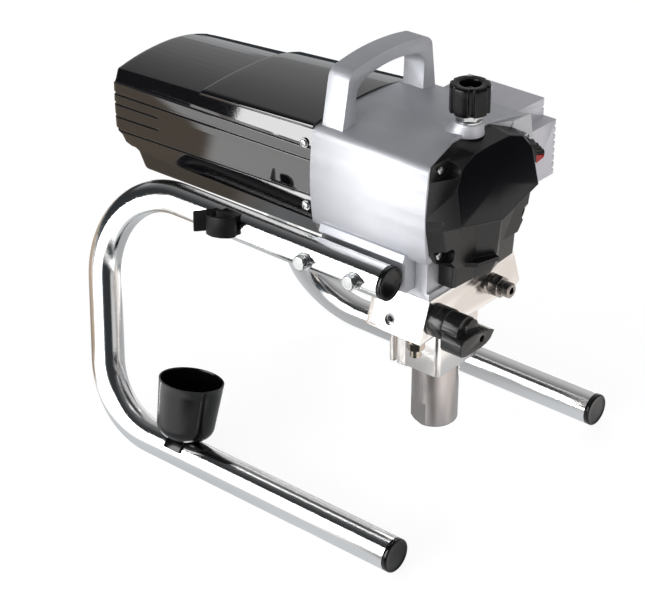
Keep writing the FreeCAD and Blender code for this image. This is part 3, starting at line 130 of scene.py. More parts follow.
def cleaned(mesh, material, join_flats):
    """Merge doubles, join flat faces or drop slivers, and make all smooth in one material."""
    work = bmesh.new()
    work.from_mesh(mesh)
    bmesh.ops.remove_doubles(work, verts=work.verts, dist=MERGE)
    if join_flats:
        bmesh.ops.dissolve_limit(work, angle_limit=FLAT, verts=work.verts, edges=work.edges)
    else:
        bmesh.ops.dissolve_degenerate(work, edges=work.edges, dist=SLIVER)
    work.to_mesh(mesh)
    work.free()
    mesh.materials.clear()
    mesh.materials.append(material)
    mesh.polygons.foreach_set("use_smooth", np.ones(len(mesh.polygons), bool))


def declared(obj, body, stands_for):
    """Attach the piece to the body that carries it, hide the solids it stands for, and print its size."""
    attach(obj, body)
    if stands_for:
        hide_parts(*stands_for)
    print("%-22s faces %6d" % (obj.name, len(obj.data.polygons)))
    return obj


def piece(name, skins, slot, stands_for=(), look=None, sharp=32, body="machine"):
    """One object from closed skins, smooth but for edges above the sharp angle."""
    verts, faces = [], []
    for points, quads, *turned_out in skins:
        base = sum(len(v) for v in verts)
        faces += [[base + k for k in f] for f in (quads if turned_out else outward(points, quads))]
        verts.append(points)
    mesh = bpy.data.meshes.new(name)
    mesh.from_pydata((np.concatenate(verts) * MM).tolist(), [], faces)
    cleaned(mesh, finishes[look or slot], False)
    mesh.set_sharp_from_angle(angle=math.radians(sharp))
    return declared(linked(name, mesh), body, stands_for)


def softened(name, width, look=None, body="machine", bend=None):
    """Copy of a CAD solid with its triangles merged into flats and its edges bevelled by width."""
    mesh = nodes[name].data.copy()
    mesh.name = name + "_soft"
    slot = slot_of[name]
    cleaned(mesh, finishes[look or slot], True)
    if bend:
        at = np.empty(len(mesh.vertices) * 3)
        mesh.vertices.foreach_get("co", at)
        mesh.vertices.foreach_set("co", (bend(at.reshape(-1, 3) / MM) * MM).ravel())
    obj = linked(name + "_soft", mesh)
    configured(obj.modifiers.new("edges", "BEVEL"), dict(
        width=width * MM, segments=2, limit_method="ANGLE", angle_limit=BEVEL_ANGLE,
        use_clamp_overlap=True, harden_normals=True))
    return declared(obj, body, [name])


# %% [markdown]
# ## Profiles
# Most parts of such a machine are made by one motion: turned on a lathe, or bent from tube. So
# a profile is turned round an axis or carried along a path. Two more helpers round an
# outline's corners and move it inwards.


# %% Profiles turned round an axis, rounded in their plane, or carried along a path
SIDE_SHARE = 0.48


def circle_of(angle, axis):
    """Unit vectors a*cos + b*sin, where a and b stand across the axis and each other."""
    axis = np.array(axis, float)
    a = unit(np.cross((0, 0, 1) if abs(axis[2]) < 0.9 else (1, 0, 0), axis))
    return np.cos(angle)[:, None] * a + np.sin(angle)[:, None] * np.cross(axis, a)


def turned(profile, origin, axis, sides=64, shape=None, hollow=False):
    """Profile of (radius, height) turned round an axis; shape(angle, radius, height) may bend it."""
    angle = np.arange(sides) * 2 * np.pi / sides
    radius, height = (np.repeat(np.array(profile, float)[:, k, None], sides, 1) for k in (0, 1))
    if shape:
        radius, height = shape(angle, radius, height)
    grid = np.array(origin, float) + radius[..., None] * circle_of(angle, axis)
    return skin(grid + height[..., None] * np.array(axis, float), hollow)


def hexagon(flats, edge):
    """Shape for turned(): min(r, flats/2/cos(angle from a flat's middle)) cuts the six flats."""
    def cut(angle, radius, height):
        wall = flats / 2 / np.cos((angle + edge) % (np.pi / 3) - np.pi / 6)
        return np.minimum(radius, wall), height
    return cut


def round_loop(corners, radii, steps=5):
    """Outline whose corners become curves that start and end at r/tan(half angle) from them."""
    p = np.array(corners, float)
    before, after = np.roll(p, 1, 0) - p, np.roll(p, -1, 0) - p
    shorter = np.minimum(np.linalg.norm(before, axis=1), np.linalg.norm(after, axis=1))
    before, after = unit(before), unit(after)
    half = np.arccos(np.clip((before * after).sum(1), -1, 1)) / 2
    reach = np.minimum(np.broadcast_to(radii, len(p)) / np.tan(half), SIDE_SHARE * shorter)[:, None]
    t = np.linspace(0, 1, steps + 1)[None, :, None]
    return curve((p + before * reach)[:, None], p[:, None], (p + after * reach)[:, None], t).reshape(-1, 2)


def inset(loop, amount):
    """Outline moved inwards along its mitred normals."""
    edge = unit(np.roll(loop, -1, 0) - loop)
    area = (loop[:, 0] * np.roll(loop[:, 1], -1) - np.roll(loop[:, 0], -1) * loop[:, 1]).sum()
    normal = np.stack([-edge[:, 1], edge[:, 0]], 1) * np.sign(area)
    return loop + unit(normal + np.roll(normal, 1, 0)) * amount


def along_path(path, section, normal):
    """Closed section carried along a path in a plane; its second axis is the plane's normal."""
    side = np.cross(unit(np.gradient(path, axis=0)), normal)
    return path[:, None] + section[None, :, :1] * side[:, None] + section[None, :, 1:] * normal


# %% [markdown]
# ## Camera
# The viewpoint was worked out from lines of the machine that are parallel in reality: a long
# lens, 29 degrees above the floor, on the machine's front left.

# %% Camera at the photograph's viewpoint


def placed(name, data, spot, rotation):
    """Object with a place and a quaternion."""
    return configured(linked(name, data), dict(
        location=spot, rotation_mode="QUATERNION", rotation_quaternion=rotation))


camera_data = configured(bpy.data.cameras.new("camera"), dict(
    lens=116.9, sensor_width=36, clip_start=0.05, clip_end=50))
right = np.array([0.6463, -0.7631, 0])
back = np.array([-0.6664, -0.5643, 0.4871])
axes = np.stack([right, np.cross(back, right), back], 1)
turn = np.linalg.qr(axes)[0]
turn *= np.sign(np.diag(turn.T @ axes))
camera = placed("camera", camera_data, (-1.3388, -1.1254, 1.1112), Matrix(turn.tolist()).to_quaternion())
bpy.context.scene.camera = camera
bpy.context.scene.view_settings.view_transform = "Standard"
print("camera looks down by %.1f degrees" % math.degrees(math.asin(turn[2, 2])))

# %% [markdown]
# ## Studio
# Chrome and gloss black show little of their own colour: they show the room. So the room is
# made as two pictures. Lamps that mirrors can't see light the colours evenly, and the glossy
# rays meet a drawn room: a white table, a dark side where the photographer stands, a tall
# soft box on the left. Each patch of that room is one use of the node group below.


# %% Node helpers
def connect(socket, value):
    """Set a socket, or link it when the value is a socket, or a node with its first output."""
    if isinstance(value, bpy.types.Node):
        value = value.outputs[0]
    if isinstance(value, bpy.types.NodeSocket):
        socket.id_data.links.new(value, socket)
    else:
        socket.default_value = value


def node(tree, kind, values=None, **settings):
    """New node with its settings, and with values or links for its inputs by name or number."""
    made = configured(tree.nodes.new("ShaderNode" + kind), settings)
    for key, value in (values or {}).items():
        connect(made.inputs[key], value)
    return made


def new_group(name, outputs, **inputs):
    """Empty shader group; an input's default tells its type: a number, three or four numbers."""
    group = bpy.data.node_groups.new(name, "ShaderNodeTree")
    kinds = {0: "Float", 3: "Vector", 4: "Color"}
    for label, default in inputs.items():
        kind = kinds[len(default) if isinstance(default, tuple) else 0]
        made = group.interface.new_socket(label, in_out="INPUT", socket_type="NodeSocket" + kind)
        made.default_value = default
    for label, kind in outputs.items():
        group.interface.new_socket(label, in_out="OUTPUT", socket_type="NodeSocket" + kind)
    return group, group.nodes.new("NodeGroupInput").outputs, group.nodes.new("NodeGroupOutput").inputs


def use_group(tree, group, **values):
    """A group placed in a tree."""
    return node(tree, "Group", values, node_tree=group)


def mixed(tree, factor, low, high):
    """Colour between two colours."""
    values = {0: factor, 6: low, 7: high}
    return node(tree, "Mix", values, data_type="RGBA", clamp_factor=True).outputs[2]


def math_node(tree, operation, a, b=0, clamp=False):
    """Value of one arithmetic step."""
    return node(tree, "Math", {0: a, 1: b}, operation=operation, use_clamp=clamp).outputs[0]


def vector_node(tree, operation, a, b=(0, 0, 0)):
    """One vector step: its number where it is a length or a product, else its vector."""
    made = node(tree, "VectorMath", {0: a, 1: b}, operation=operation)
    return made.outputs[1 if operation in ("LENGTH", "DOT_PRODUCT") else 0]


def remapped(tree, value, low, high, start=0, stop=1, kind="LINEAR"):
    """Value carried from low..high to start..stop."""
    return node(tree, "MapRange", {0: value, 1: low, 2: high, 3: start, 4: stop}, interpolation_type=kind)


def noise(tree, spot, scale, detail):
    """Height of a cloud texture."""
    return node(tree, "TexNoise", {"Vector": spot, "Scale": scale, "Detail": detail}).outputs["Fac"]


def coordinates(tree, kind="Object"):
    """Object coordinates, which move and bend with the piece."""
    return node(tree, "TexCoord").outputs[kind]


def bare_tree(owner):
    """Node tree of a world or a material with nothing in it yet."""
    owner.use_nodes = True
    owner.node_tree.nodes.clear()
    return owner.node_tree


def gray(level, warm=0):
    """Grey with a little red and blue pulled apart."""
    return (level * (1 + warm), level, level * (1 - warm), 1)


# %% [markdown]
# A soft patch is 1 inside a stretched ball round a direction or a place and 0 outside it,
# with a smooth edge: mask = smoothstep((distance - radius) / softness).

# %% Group for a soft patch, and a room painted with patches
patch, gi, go = new_group("soft_patch", {"Mask": "Float"}, Vector=(0, 0, 0), Centre=(0, 0, 0),
                          Stretch=(1, 1, 1), Radius=0.5, Softness=0.1)
away = vector_node(patch, "SUBTRACT", gi["Vector"], gi["Centre"])
far = vector_node(patch, "LENGTH", vector_node(patch, "MULTIPLY", away, gi["Stretch"]))
edge_in = math_node(patch, "SUBTRACT", gi["Radius"], gi["Softness"])
edge_out = math_node(patch, "ADD", gi["Radius"], gi["Softness"])
connect(go["Mask"], remapped(patch, far, edge_in, edge_out, 1, 0, "SMOOTHSTEP"))


def painted_room(tree, vector, base, patches):
    """Base colour with patches over it: (centre, radius, softness, level, warmth, stretch if any)."""
    colour = base
    for centre, radius, softness, level, warm, *stretch in patches:
        mask = use_group(tree, patch, Vector=vector, Centre=centre, Radius=radius, Softness=softness,
                         Stretch=stretch[0] if stretch else (1, 1, 1))
        colour = mixed(tree, mask, colour, gray(level, warm))
    print("room with", len(patches), "patches")
    return colour


# %% [markdown]
# The camera sees a white world. Glossy rays see the drawn room: the dark side behind the
# camera and paler walls to the right. Everything else gets an even light, stronger from the left.

# %% World: white behind the object, a drawn room for glossy rays, even light for the rest
world = bpy.data.worlds.new("studio")
bpy.context.scene.world = world
tree = bare_tree(world)
look = coordinates(tree, "Generated")
room = painted_room(tree, look, gray(0.035, -0.08), [
    ((-0.95, -0.22, 0.2), 0.16, 0.22, 0.22, -0.25),
    ((0.88, 0.45, 0.08), 0.36, 0.1, 0.56, -0.02),
    ((0.12, -0.98, 0.13), 0.27, 0.05, 0.62, 0),
    ((0.7, 0.62, 0.02), 0.26, 0.08, 0.8, -0.02),
    ((0.8, -0.55, 0.2), 0.34, 0.15, 0.34, -0.04)])
ray = node(tree, "LightPath").outputs
even = painted_room(tree, look, gray(0.2, -0.02), [((-1, 0.1, 0), 0.9, 0.35, 0.85, -0.01)])
plain = mixed(tree, ray["Is Camera Ray"], even, gray(1))
seen = mixed(tree, ray["Is Glossy Ray"], plain, room)
node(tree, "OutputWorld", {"Surface": node(tree, "Background", {"Color": seen, "Strength": 1})})

# %% [markdown]
# The floor is paper. For mirrors it shows a painted reflection: a lit table with a warm far
# edge, a dark near side, a painted shadow of the machine under it and a few small painted
# glints near the feet, as the real tubes show them.

# %% Floor: pale for the camera, for glossy rays a painted reflection of a lit table with painted shadow and glints
FLOOR_HALF, FLOOR_DROP = 6, 0.0006
OWN_GLOW, PAPER_SHARE = 1.3, 0.35
SQUARE = ((-1, -1), (1, -1), (1, 1), (-1, 1))


def sheet_of(name, corners):
    """Flat quad with an empty material."""
    mesh = bpy.data.meshes.new(name)
    mesh.from_pydata([tuple(c) for c in corners], [], [(0, 1, 2, 3)])
    paint = bpy.data.materials.new(name + "_paint")
    mesh.materials.append(paint)
    return linked(name, mesh), bare_tree(paint)


def blend(tree, factor, low, high):
    """Shader between two shaders."""
    return node(tree, "MixShader", {0: factor, 1: low, 2: high})


floor, tree = sheet_of("floor", [(a * FLOOR_HALF, b * FLOOR_HALF, 0) for a, b in SQUARE])
floor.location.z = -FLOOR_DROP
painted_table_reflection = painted_room(tree, coordinates(tree), gray(0.06, -0.15), [
    ((0, 0, 0), 1.6, 0.1, 1.7, 0.01),
    ((-0.07, 0.953, 0), 0.6, 0.01, 0.4, 0.22),
    ((0.45, -0.55, 0), 0.45, 0.2, 0.85, 0.05),
    ((-0.55, -0.28, 0), 0.32, 0.08, 0.05, -0.1, (0.8, 1.2, 1)),
    # painted shadow of the machine on the table, darker towards its middle
    ((0, 0, 0), 0.28, 0.03, 0.64, -0.03),
    ((0.02, 0.02, 0), 0.17, 0.07, 0.44, -0.02),
    # painted shadow behind the machine on the left
    ((-0.115, 0.36, 0), 0.13, 0.04, 0.28, 0.2),
    # painted glints near the feet, with a small darker spot between them
    ((-0.135, -0.115, 0), 0.028, 0.012, 1.1, 0),
    ((-0.115, -0.2, 0), 0.03, 0.015, 0.28, 0.05),
    ((0.035, -0.275, 0), 0.038, 0.02, 1.1, 0.02)])
ray = node(tree, "LightPath").outputs
paper = node(tree, "BsdfDiffuse", {"Color": gray(0.88)})
glow = node(tree, "Emission", {"Color": gray(1), "Strength": OWN_GLOW})
lit = blend(tree, ray["Is Camera Ray"], paper, blend(tree, PAPER_SHARE, glow, paper))
# the painted reflection of the table glows for glossy rays only
painted_reflection_glow = node(tree, "Emission", {"Color": painted_table_reflection, "Strength": 1})
node(tree, "OutputMaterial", {"Surface": blend(tree, ray["Is Glossy Ray"], lit, painted_reflection_glow)})

# %% [markdown]
# Two cards give the long highlights: a tall soft box at the left and a wide dim one over the
# right side. Three lamps give the colours their light and stay out of the reflections.


# %% Soft boxes that only mirrors see, and lamps that mirrors don't see
def glossy_card(name, centre, along, up, strength, ramp, low, high):
    """Card of corners centre +- along +- up, only seen mirrored; it fades in along ramp, low to high."""
    centre, along, up = (np.array(v, float) for v in (centre, along, up))
    card, tree = sheet_of(name, [centre + along * a + up * b for a, b in SQUARE])
    way = vector_node(tree, "DOT_PRODUCT", coordinates(tree), ramp)
    light = node(tree, "Emission", {"Color": gray(1), "Strength": strength})
    share = remapped(tree, way, low, high, kind="SMOOTHSTEP")
    both = blend(tree, share, node(tree, "BsdfTransparent"), light)
    node(tree, "OutputMaterial", {"Surface": both})
    for kind in ("camera", "diffuse", "transmission", "shadow"):
        setattr(card, "visible_" + kind, False)


glossy_card("left_box", (-1, 0.305, 0.57), (0, 0.605, 0), (0, 0, 0.47), 7, (0, 1, 0), -0.22, 0.12)
glossy_card("right_sky", (1.1, 0.6, 0.8), (1.8, 0, 0), (0, 1.6, 0), 0.53, (1, 0, 0), -0.5, 1)
AIM = (0, 0, 0.22)
for name, spot, power, size, colour in (("key_left", (-2.2, 0.1, 0.45), 25, 1.2, (1, 1, 1)),
                                        ("fill_front", (0.3, -2.2, 0.7), 18, 1.6, (1, 0.97, 0.94)),
                                        ("back_right", (1.6, 1.4, 1.3), 11, 1.2, (1, 1, 1))):
    data = configured(bpy.data.lights.new(name, "AREA"), dict(energy=power, size=size, color=colour))
    way = Vector((np.array(AIM) - np.array(spot)).tolist())
    placed(name, data, spot, way.to_track_quat("-Z", "Y")).visible_glossy = False
    print("%-10s %4.0f W at %.2f m" % (name, power, way.length))

# %% [markdown]
# ## Finishes
# Three effects come back in most of the finishes: a fine grain that varies gloss and bump,
# a slow drift of tone, and edges painted lighter, which stand for both a painted highlight
# and wear. Each is one node group, placed in every material with its own values.

# %% Group for fine grain: varies roughness and gives a bumped normal
BUMP_HEIGHT = 0.0004
grain, gi, go = new_group("fine_grain", {"Roughness": "Float", "Normal": "Vector"}, Scale=900,
                          Stretch=(1, 1, 1), Roughness=0.3, Spread=0.1, Height=0.1)
spot = vector_node(grain, "MULTIPLY", coordinates(grain), gi["Stretch"])
rough_noise = node(grain, "TexNoise", {"Vector": spot, "Scale": gi["Scale"], "Detail": 3, "Roughness": 0.6})
cloud = rough_noise.outputs["Fac"]
swing = math_node(grain, "MULTIPLY", math_node(grain, "SUBTRACT", cloud, 0.5), gi["Spread"])
connect(go["Roughness"], math_node(grain, "ADD", swing, gi["Roughness"], clamp=True))
bumped = node(grain, "Bump", {"Strength": gi["Height"], "Distance": BUMP_HEIGHT, "Height": cloud})
connect(go["Normal"], bumped)

# %% [markdown]
# Cast and painted metal is never one tone. A broad cloud moves the colour towards a second
# one, and a fine cloud leaves pale specks where it passes a threshold.

# %% Group for tone drift: slow change of colour with a few fine specks
drift, gi, go = new_group("tone_drift", {"Color": "Color"}, Color=gray(0.5), Second=gray(0.4), Scale=14,
                          Amount=0.5, Speck=0.05)
spot = coordinates(drift)
share = remapped(drift, noise(drift, spot, gi["Scale"], 4), 0.35, 0.68, 0, gi["Amount"])
dots = remapped(drift, noise(drift, spot, 1900, 1), 0.62, 0.75, 0, gi["Speck"])
broad = mixed(drift, share, gi["Color"], gi["Second"])
connect(go["Color"], mixed(drift, dots, broad, gray(0.9)))

# %% [markdown]
# An edge is where the rounded normal of the bevel node leaves the true normal. There the
# colour is painted lighter: partly a painted highlight, partly wear. A cloud breaks the line
# up, since hands and tools don't wear an edge evenly.

# %% Group for edges: 1 on convex edges, from a rounded normal against the true one; it masks painted highlight and wear
edges, gi, go = new_group("worn_and_highlit_edges", {"Mask": "Float"}, Width=0.0008, Breakup=0.5)
soft = node(edges, "Bevel", {"Radius": gi["Width"]}, samples=4)
same = vector_node(edges, "DOT_PRODUCT", soft, node(edges, "NewGeometry").outputs["Normal"])
gaps = remapped(edges, noise(edges, coordinates(edges), 160, 2), 0.3, 0.6)
kept = mixed(edges, gi["Breakup"], gray(1), gaps)
connect(go["Mask"], math_node(edges, "MULTIPLY", remapped(edges, same, 0.995, 0.93), kept))
print("node groups", [group.name for group in bpy.data.node_groups])

# %% [markdown]
# A finish is one Principled material. Its colours are screen levels, its grain stands in
# repeats per metre, and its lighter edges of painted highlight and wear, where it has them,
# in a colour, a share and a width.


# %% Material maker: drift for colour, grain for gloss and bump, and lighter edges of painted highlight and wear
def linear(colour):
    """Screen levels c of 0 to 255 made linear, ((c/255 + 0.055)/1.055)^2.4; four numbers stay."""
    if len(colour) == 4:
        return colour
    level = [c / 255 for c in colour]
    return tuple(c / 12.92 if c < 0.04045 else ((c + 0.055) / 1.055) ** 2.4 for c in level) + (1,)


def finish(name, colour, second, metal, rough, spread, scale, height, edge=None, **more):
    """Principled material fed by the three groups."""
    made = bpy.data.materials.new(name)
    made.use_nodes = True
    tree = made.node_tree
    tone = use_group(tree, drift, Color=linear(colour), Second=linear(second), Scale=14,
                     Amount=more.get("amount", 0.5), Speck=more.get("speck", 0))
    # edges painted lighter in colour: a painted highlight, and wear
    if edge:
        edge_highlight_and_wear_colour, share, width = edge
        mask = use_group(tree, edges, Width=width * MM, Breakup=0.5)
        tone = mixed(tree, math_node(tree, "MULTIPLY", mask, share), tone, linear(edge_highlight_and_wear_colour))
    texture = use_group(tree, grain, Scale=scale, Stretch=more.get("stretch", (1, 1, 1)), Roughness=rough,
                        Spread=spread, Height=height)
    shader = {"Base Color": tone, "Metallic": metal, "IOR": more.get("ior", 1.5),
              "Roughness": texture.outputs["Roughness"], "Normal": texture.outputs["Normal"]}
    for key, value in shader.items():
        connect(tree.nodes["Principled BSDF"].inputs[key], value)
    made.diffuse_color = linear(colour)
    return made


# %% [markdown]
# The finishes carry the names of the record's slots. A few pieces share a slot with others
# and differ in gloss, such as the cup and the knob: they have a finish of their own.

# %% The finishes of this machine: colour, second colour, metal, rough, spread, grain, height, edge (painted highlight and wear)
finishes = {row[0]: finish(*row, **more) for *row, more in (
    ("chromed_tube", gray(0.9), gray(0.82), 1, 0.07, 0.18, 1500, 0.16, dict(amount=0.3)),
    ("gloss_black", (14, 13, 15), (9, 9, 12), 0, 0.035, 0.03, 500, 0.012,
     ((150, 150, 158), 0.25, 0.5), dict(ior=1.9)),
    ("satin_black", (24, 23, 24), (17, 16, 17), 0, 0.28, 0.1, 2200, 0.14,
     ((130, 128, 128), 0.3, 0.7), dict(ior=1.42)),
    ("cup_black", (11, 11, 12), (7, 7, 8), 0, 0.17, 0.05, 700, 0.03,
     ((150, 150, 150), 0.25, 0.5), dict(ior=1.42)),
    ("knob_black", (12, 12, 13), (8, 8, 9), 0, 0.2, 0.06, 900, 0.03,
     ((160, 160, 165), 0.3, 0.5), dict(ior=1.28)),
    ("lever_black", (30, 29, 29), (22, 22, 22), 0, 0.22, 0.08, 1200, 0.06,
     ((150, 148, 146), 0.3, 0.5), {}),
    ("clip_black", (15, 15, 15), (11, 11, 11), 0, 0.42, 0.1, 1500, 0.12, dict(ior=1.25)),
    ("panel_black", (13, 13, 16), (8, 8, 13), 0, 0.12, 0.03, 400, 0.01, dict(ior=1.24)),
    ("cast_silver", (197, 198, 203), (178, 180, 187), 0.5, 0.48, 0.18, 1500, 0.42,
     ((228, 228, 232), 0.35, 0.9), dict(amount=0.7, speck=0.16)),
    ("box_silver", (208, 208, 215), (196, 196, 204), 0.55, 0.44, 0.14, 1500, 0.24,
     ((228, 228, 232), 0.3, 0.8), dict(speck=0.1)),
    ("machined_aluminium", (238, 234, 231), (228, 222, 216), 1, 0.2, 0.1, 300, 0.03,
     dict(stretch=(1, 1, 8), amount=0.4)),
    ("zinc_steel", (190, 192, 192), (172, 176, 174), 1, 0.26, 0.14, 1200, 0.08,
     ((245, 245, 245), 0.4, 0.4), {}),
    ("turned_steel", (186, 180, 178), (168, 160, 156), 1, 0.24, 0.14, 260, 0.06,
     dict(stretch=(1, 1, 14), amount=0.6)),
    ("nickel_fitting", (198, 188, 176), (166, 152, 136), 1, 0.16, 0.1, 900, 0.05,
     ((235, 228, 215), 0.4, 0.4), dict(amount=0.6)),
    ("dark_steel", (176, 170, 166), (140, 134, 130), 1, 0.26, 0.12, 700, 0.08,
     ((205, 200, 196), 0.5, 0.4), dict(amount=0.6)),
    ("hard_steel", (150, 150, 152), (132, 132, 136), 1, 0.28, 0.1, 600, 0.05, {}),
    ("red_plastic", (186, 28, 26), (150, 20, 20), 0, 0.25, 0.05, 900, 0.02, {}),
    ("core_iron", (92, 90, 90), (70, 68, 70), 0.6, 0.5, 0.1, 900, 0.15, {}),
    ("copper_wire", (190, 112, 66), (150, 82, 48), 0.9, 0.3, 0.1, 300, 0.3, dict(stretch=(1, 12, 1))),
    ("bronze", (168, 128, 74), (140, 100, 54), 0.9, 0.32, 0.1, 700, 0.05, {}),
    ("packing_white", (222, 216, 198), (206, 198, 178), 0, 0.5, 0.08, 800, 0.05, {}),
    ("carbon_black", (50, 50, 51), (38, 38, 39), 0, 0.55, 0.1, 900, 0.1, {}),
    ("board_green", (32, 96, 62), (24, 78, 50), 0, 0.35, 0.1, 500, 0.05, {}))}
print("finishes", len(finishes))
finishes.update(ball_steel=finishes["chromed_tube"], ferrite=finishes["core_iron"])

# %% [markdown]
# Solids that show little keep their CAD mesh and get their finish here, by the record's slot.

# %% Every CAD solid gets the finish of its record slot
slot_of = {part["node"]: part["material_slot"] for part in frame["record"]["subparts"]}
for name, solid in nodes.items():
    solid.data.materials.clear()
    solid.data.materials.append(finishes[slot_of[name]])
print("finished solids", len(slot_of))

# %% [markdown]
# ## Skid frame
# Each side is one chromed tube of 32 mm, bent twice in a plane that leans inwards. The path
# is worked out as two straight runs and two arcs, and the section is carried along it twice,
# outside and inside, so the tube is a real wall whose ends close.

# %% Frame tubes: path, section and wall
TUBE_R, TUBE_WALL = 16, 2
FOOT_X, ARM_X, ARM_Z = 157, 92, 239
FOOT_FRONT_Y, FOOT_REAR_Y, ARM_FRONT_Y = -205, 146, -142.5
LEG_SLOPE, LOWER_BEND, UPPER_BEND, ARC_POINTS = 0.28, 75, 80, 28


def bend(corner, before, after, radius):
    """Arc c + r*(cos(a)*across + sin(a)*before) that leaves one direction and enters the next."""
    half = math.acos(before @ after) / 2
    centre = corner + unit(after - before) * radius / math.cos(half)
    across = (corner - before * radius * math.tan(half) - centre) / radius
    angle = np.linspace(0, 2 * half, ARC_POINTS)[:, None]
    return centre + radius * (np.cos(angle) * across + np.sin(angle) * before)


def straight(start, end, count):
    """Evenly spaced points p + (q - p)*t from start to end."""
    return start + (end - start) * np.linspace(0, 1, count)[:, None]


def tube_path():
    """Points of the left tube's centre line from foot to arm, and the normal of its plane."""
    forward = np.array([0, 1, 0])
    rise = np.array([FOOT_X - ARM_X, 0, ARM_Z - TUBE_R])
    foot = np.array([-FOOT_X, 0, TUBE_R])
    low = foot + forward * FOOT_REAR_Y
    high = foot + rise + forward * (FOOT_REAR_Y + LEG_SLOPE * (ARM_Z - TUBE_R))
    leg = unit(high - low)
    lower = bend(low, forward, leg, LOWER_BEND)
    upper = bend(high, leg, -forward, UPPER_BEND)
    first = straight(foot + forward * FOOT_FRONT_Y, lower[0], 12)[:-1]
    second = straight(lower[-1], upper[0], 10)[1:-1]
    third = straight(upper[-1], foot + rise + forward * ARM_FRONT_Y, 12)[1:]
    return np.concatenate([first, lower, second, upper, third]), unit(np.cross(forward, rise))


path, plane = tube_path()
turns = np.arange(96) * 2 * np.pi / 96
circle = np.stack([np.cos(turns), np.sin(turns)], 1)
wall = np.concatenate([along_path(path, circle * TUBE_R, plane),
                       along_path(path, circle * (TUBE_R - TUBE_WALL), plane)[::-1]])
for name, flip in (("left_frame_tube", 1), ("right_frame_tube", -1)):
    piece(name + "_skin", [skin(wall * (flip, 1, 1), True)], "chromed_tube", [name])

# %% [markdown]
# The plugs in the tube ends are turned parts: a flange with a shallow groove near the tube,
# a raised rim and a sunk face. A profile of radius and height tells all of it.

# %% Tube plugs
plug = [(0, -1), (11, -1), (12, -2), (12.2, -13), (12.8, -14), (13.7, -13.4), (13.95, -12), (13.95, 0),
        (15.3, 0), (15.5, 0.25), (15.5, 0.8), (15.75, 1.05), (16, 1.3), (16, 3.5), (15.85, 4.1),
        (15.45, 4.6), (14.9, 4.9), (14.3, 5), (13.7, 4.9), (13.35, 4.6), (13.2, 4.3), (12.9, 4.2),
        (9, 4.2), (4, 4.2), (0, 4.2)]
ends = ((FOOT_X, FOOT_FRONT_Y, TUBE_R), (ARM_X, ARM_FRONT_Y, ARM_Z))
plugs = [turned(plug, (side * x, y, z), (0, -1, 0), 80) for side in (-1, 1) for x, y, z in ends]
piece("tube_plugs", plugs, "gloss_black", ["tube_caps"], "cup_black", sharp=50)

# %% [markdown]
# ## Frame bolts
# Hexagon heads are turned too: the profile gives the chamfer, and a function cuts its radius
# to the six flats wherever it would stand past them. That is how a real head is made. The
# split washer is a section carried almost once round.

# %% Bolts with their flat and split washers
BOLT_FLATS, SPLIT_GAP = 13, 0.06
head = [(0, 8.9), (3.6, 8.9), (4.1, 8.75), (4.9, 8.9), (5.8, 8.85), (6.3, 8.6), (6.7, 8.35), (7.1, 8.05),
        (7.52, 7.6), (7.52, 5.2), (7.52, 4.1), (7.2, 3.7), (6.9, 3.62), (4, 3.6), (4, -40),
        (3.4, -42.4), (0, -42.4)]
washer = [(4.2, 0.02), (8.2, 0.02), (8.5, 0.3), (8.5, 1.3), (8.2, 1.58), (4.2, 1.58)]
split = np.array([(4.25, 1.68), (6.8, 1.62), (7, 1.8), (7, 3.2), (6.8, 3.38), (4.25, 3.5)])
once_round = np.linspace(SPLIT_GAP, 2 * np.pi - SPLIT_GAP, 60)
bolts, washers = [], []
for side in (-1, 1):
    axis = np.array([side, 0, 0])
    for y in (-62, -118):
        seat = np.array([side * (ARM_X + TUBE_R), y, ARM_Z])
        bolts.append(turned(head, seat, axis, 96, hexagon(BOLT_FLATS, 0.3 + y / 50)))
        washers.append(turned(washer, seat, axis, 64, hollow=True))
        sweep = seat + split[:, :1] * circle_of(once_round, axis)[:, None]
        washers.append(skin(sweep + split[:, 1:] * axis))
piece("bolt_heads", bolts, "zinc_steel", ["frame_bolts"])
piece("bolt_washers", washers, "zinc_steel", ["frame_washers"])

# %% [markdown]
# ## Motor cover
# The cover is a moulded shell that narrows towards the back. Its outline is written twice, at
# the front and at the back, with the same corners in the same order, so every line between
# them is straight, as the grooves on the real flanks are. Each groove adds four corners, and
# the two short ones get their depth only near the back.

# %% Outlines of the cover with its grooves
COVER_Y0, COVER_Y1 = -42.95, 210
FRONT_SIDE = [(64.5, 241), (71.8, 258.6), (75.4, 283), (76.8, 316), (76.2, 329.6), (76.2, 333.3),
              (72.3, 349.7)]
BACK_SIDE = [(61.8, 237), (67.8, 257), (70.8, 274), (71.5, 303), (71.2, 322.2), (68, 325.8), (64.8, 334.6)]
GROOVES = [(285.5, 274, True), (300.2, 288, False), (310.4, 301.4, False), (320.5, 311.8, True)]
GROOVE_DEPTH = 1.5
CROWNS = (354.9, 342.5)
FAR_DROP = 5.5


def roof(x, edge_x, edge_z, crown):
    """Height of the crowned top: crown - (crown - edge)*|x/edge_x|^2.2."""
    return crown - (crown - edge_z) * np.abs(x / edge_x) ** 2.2


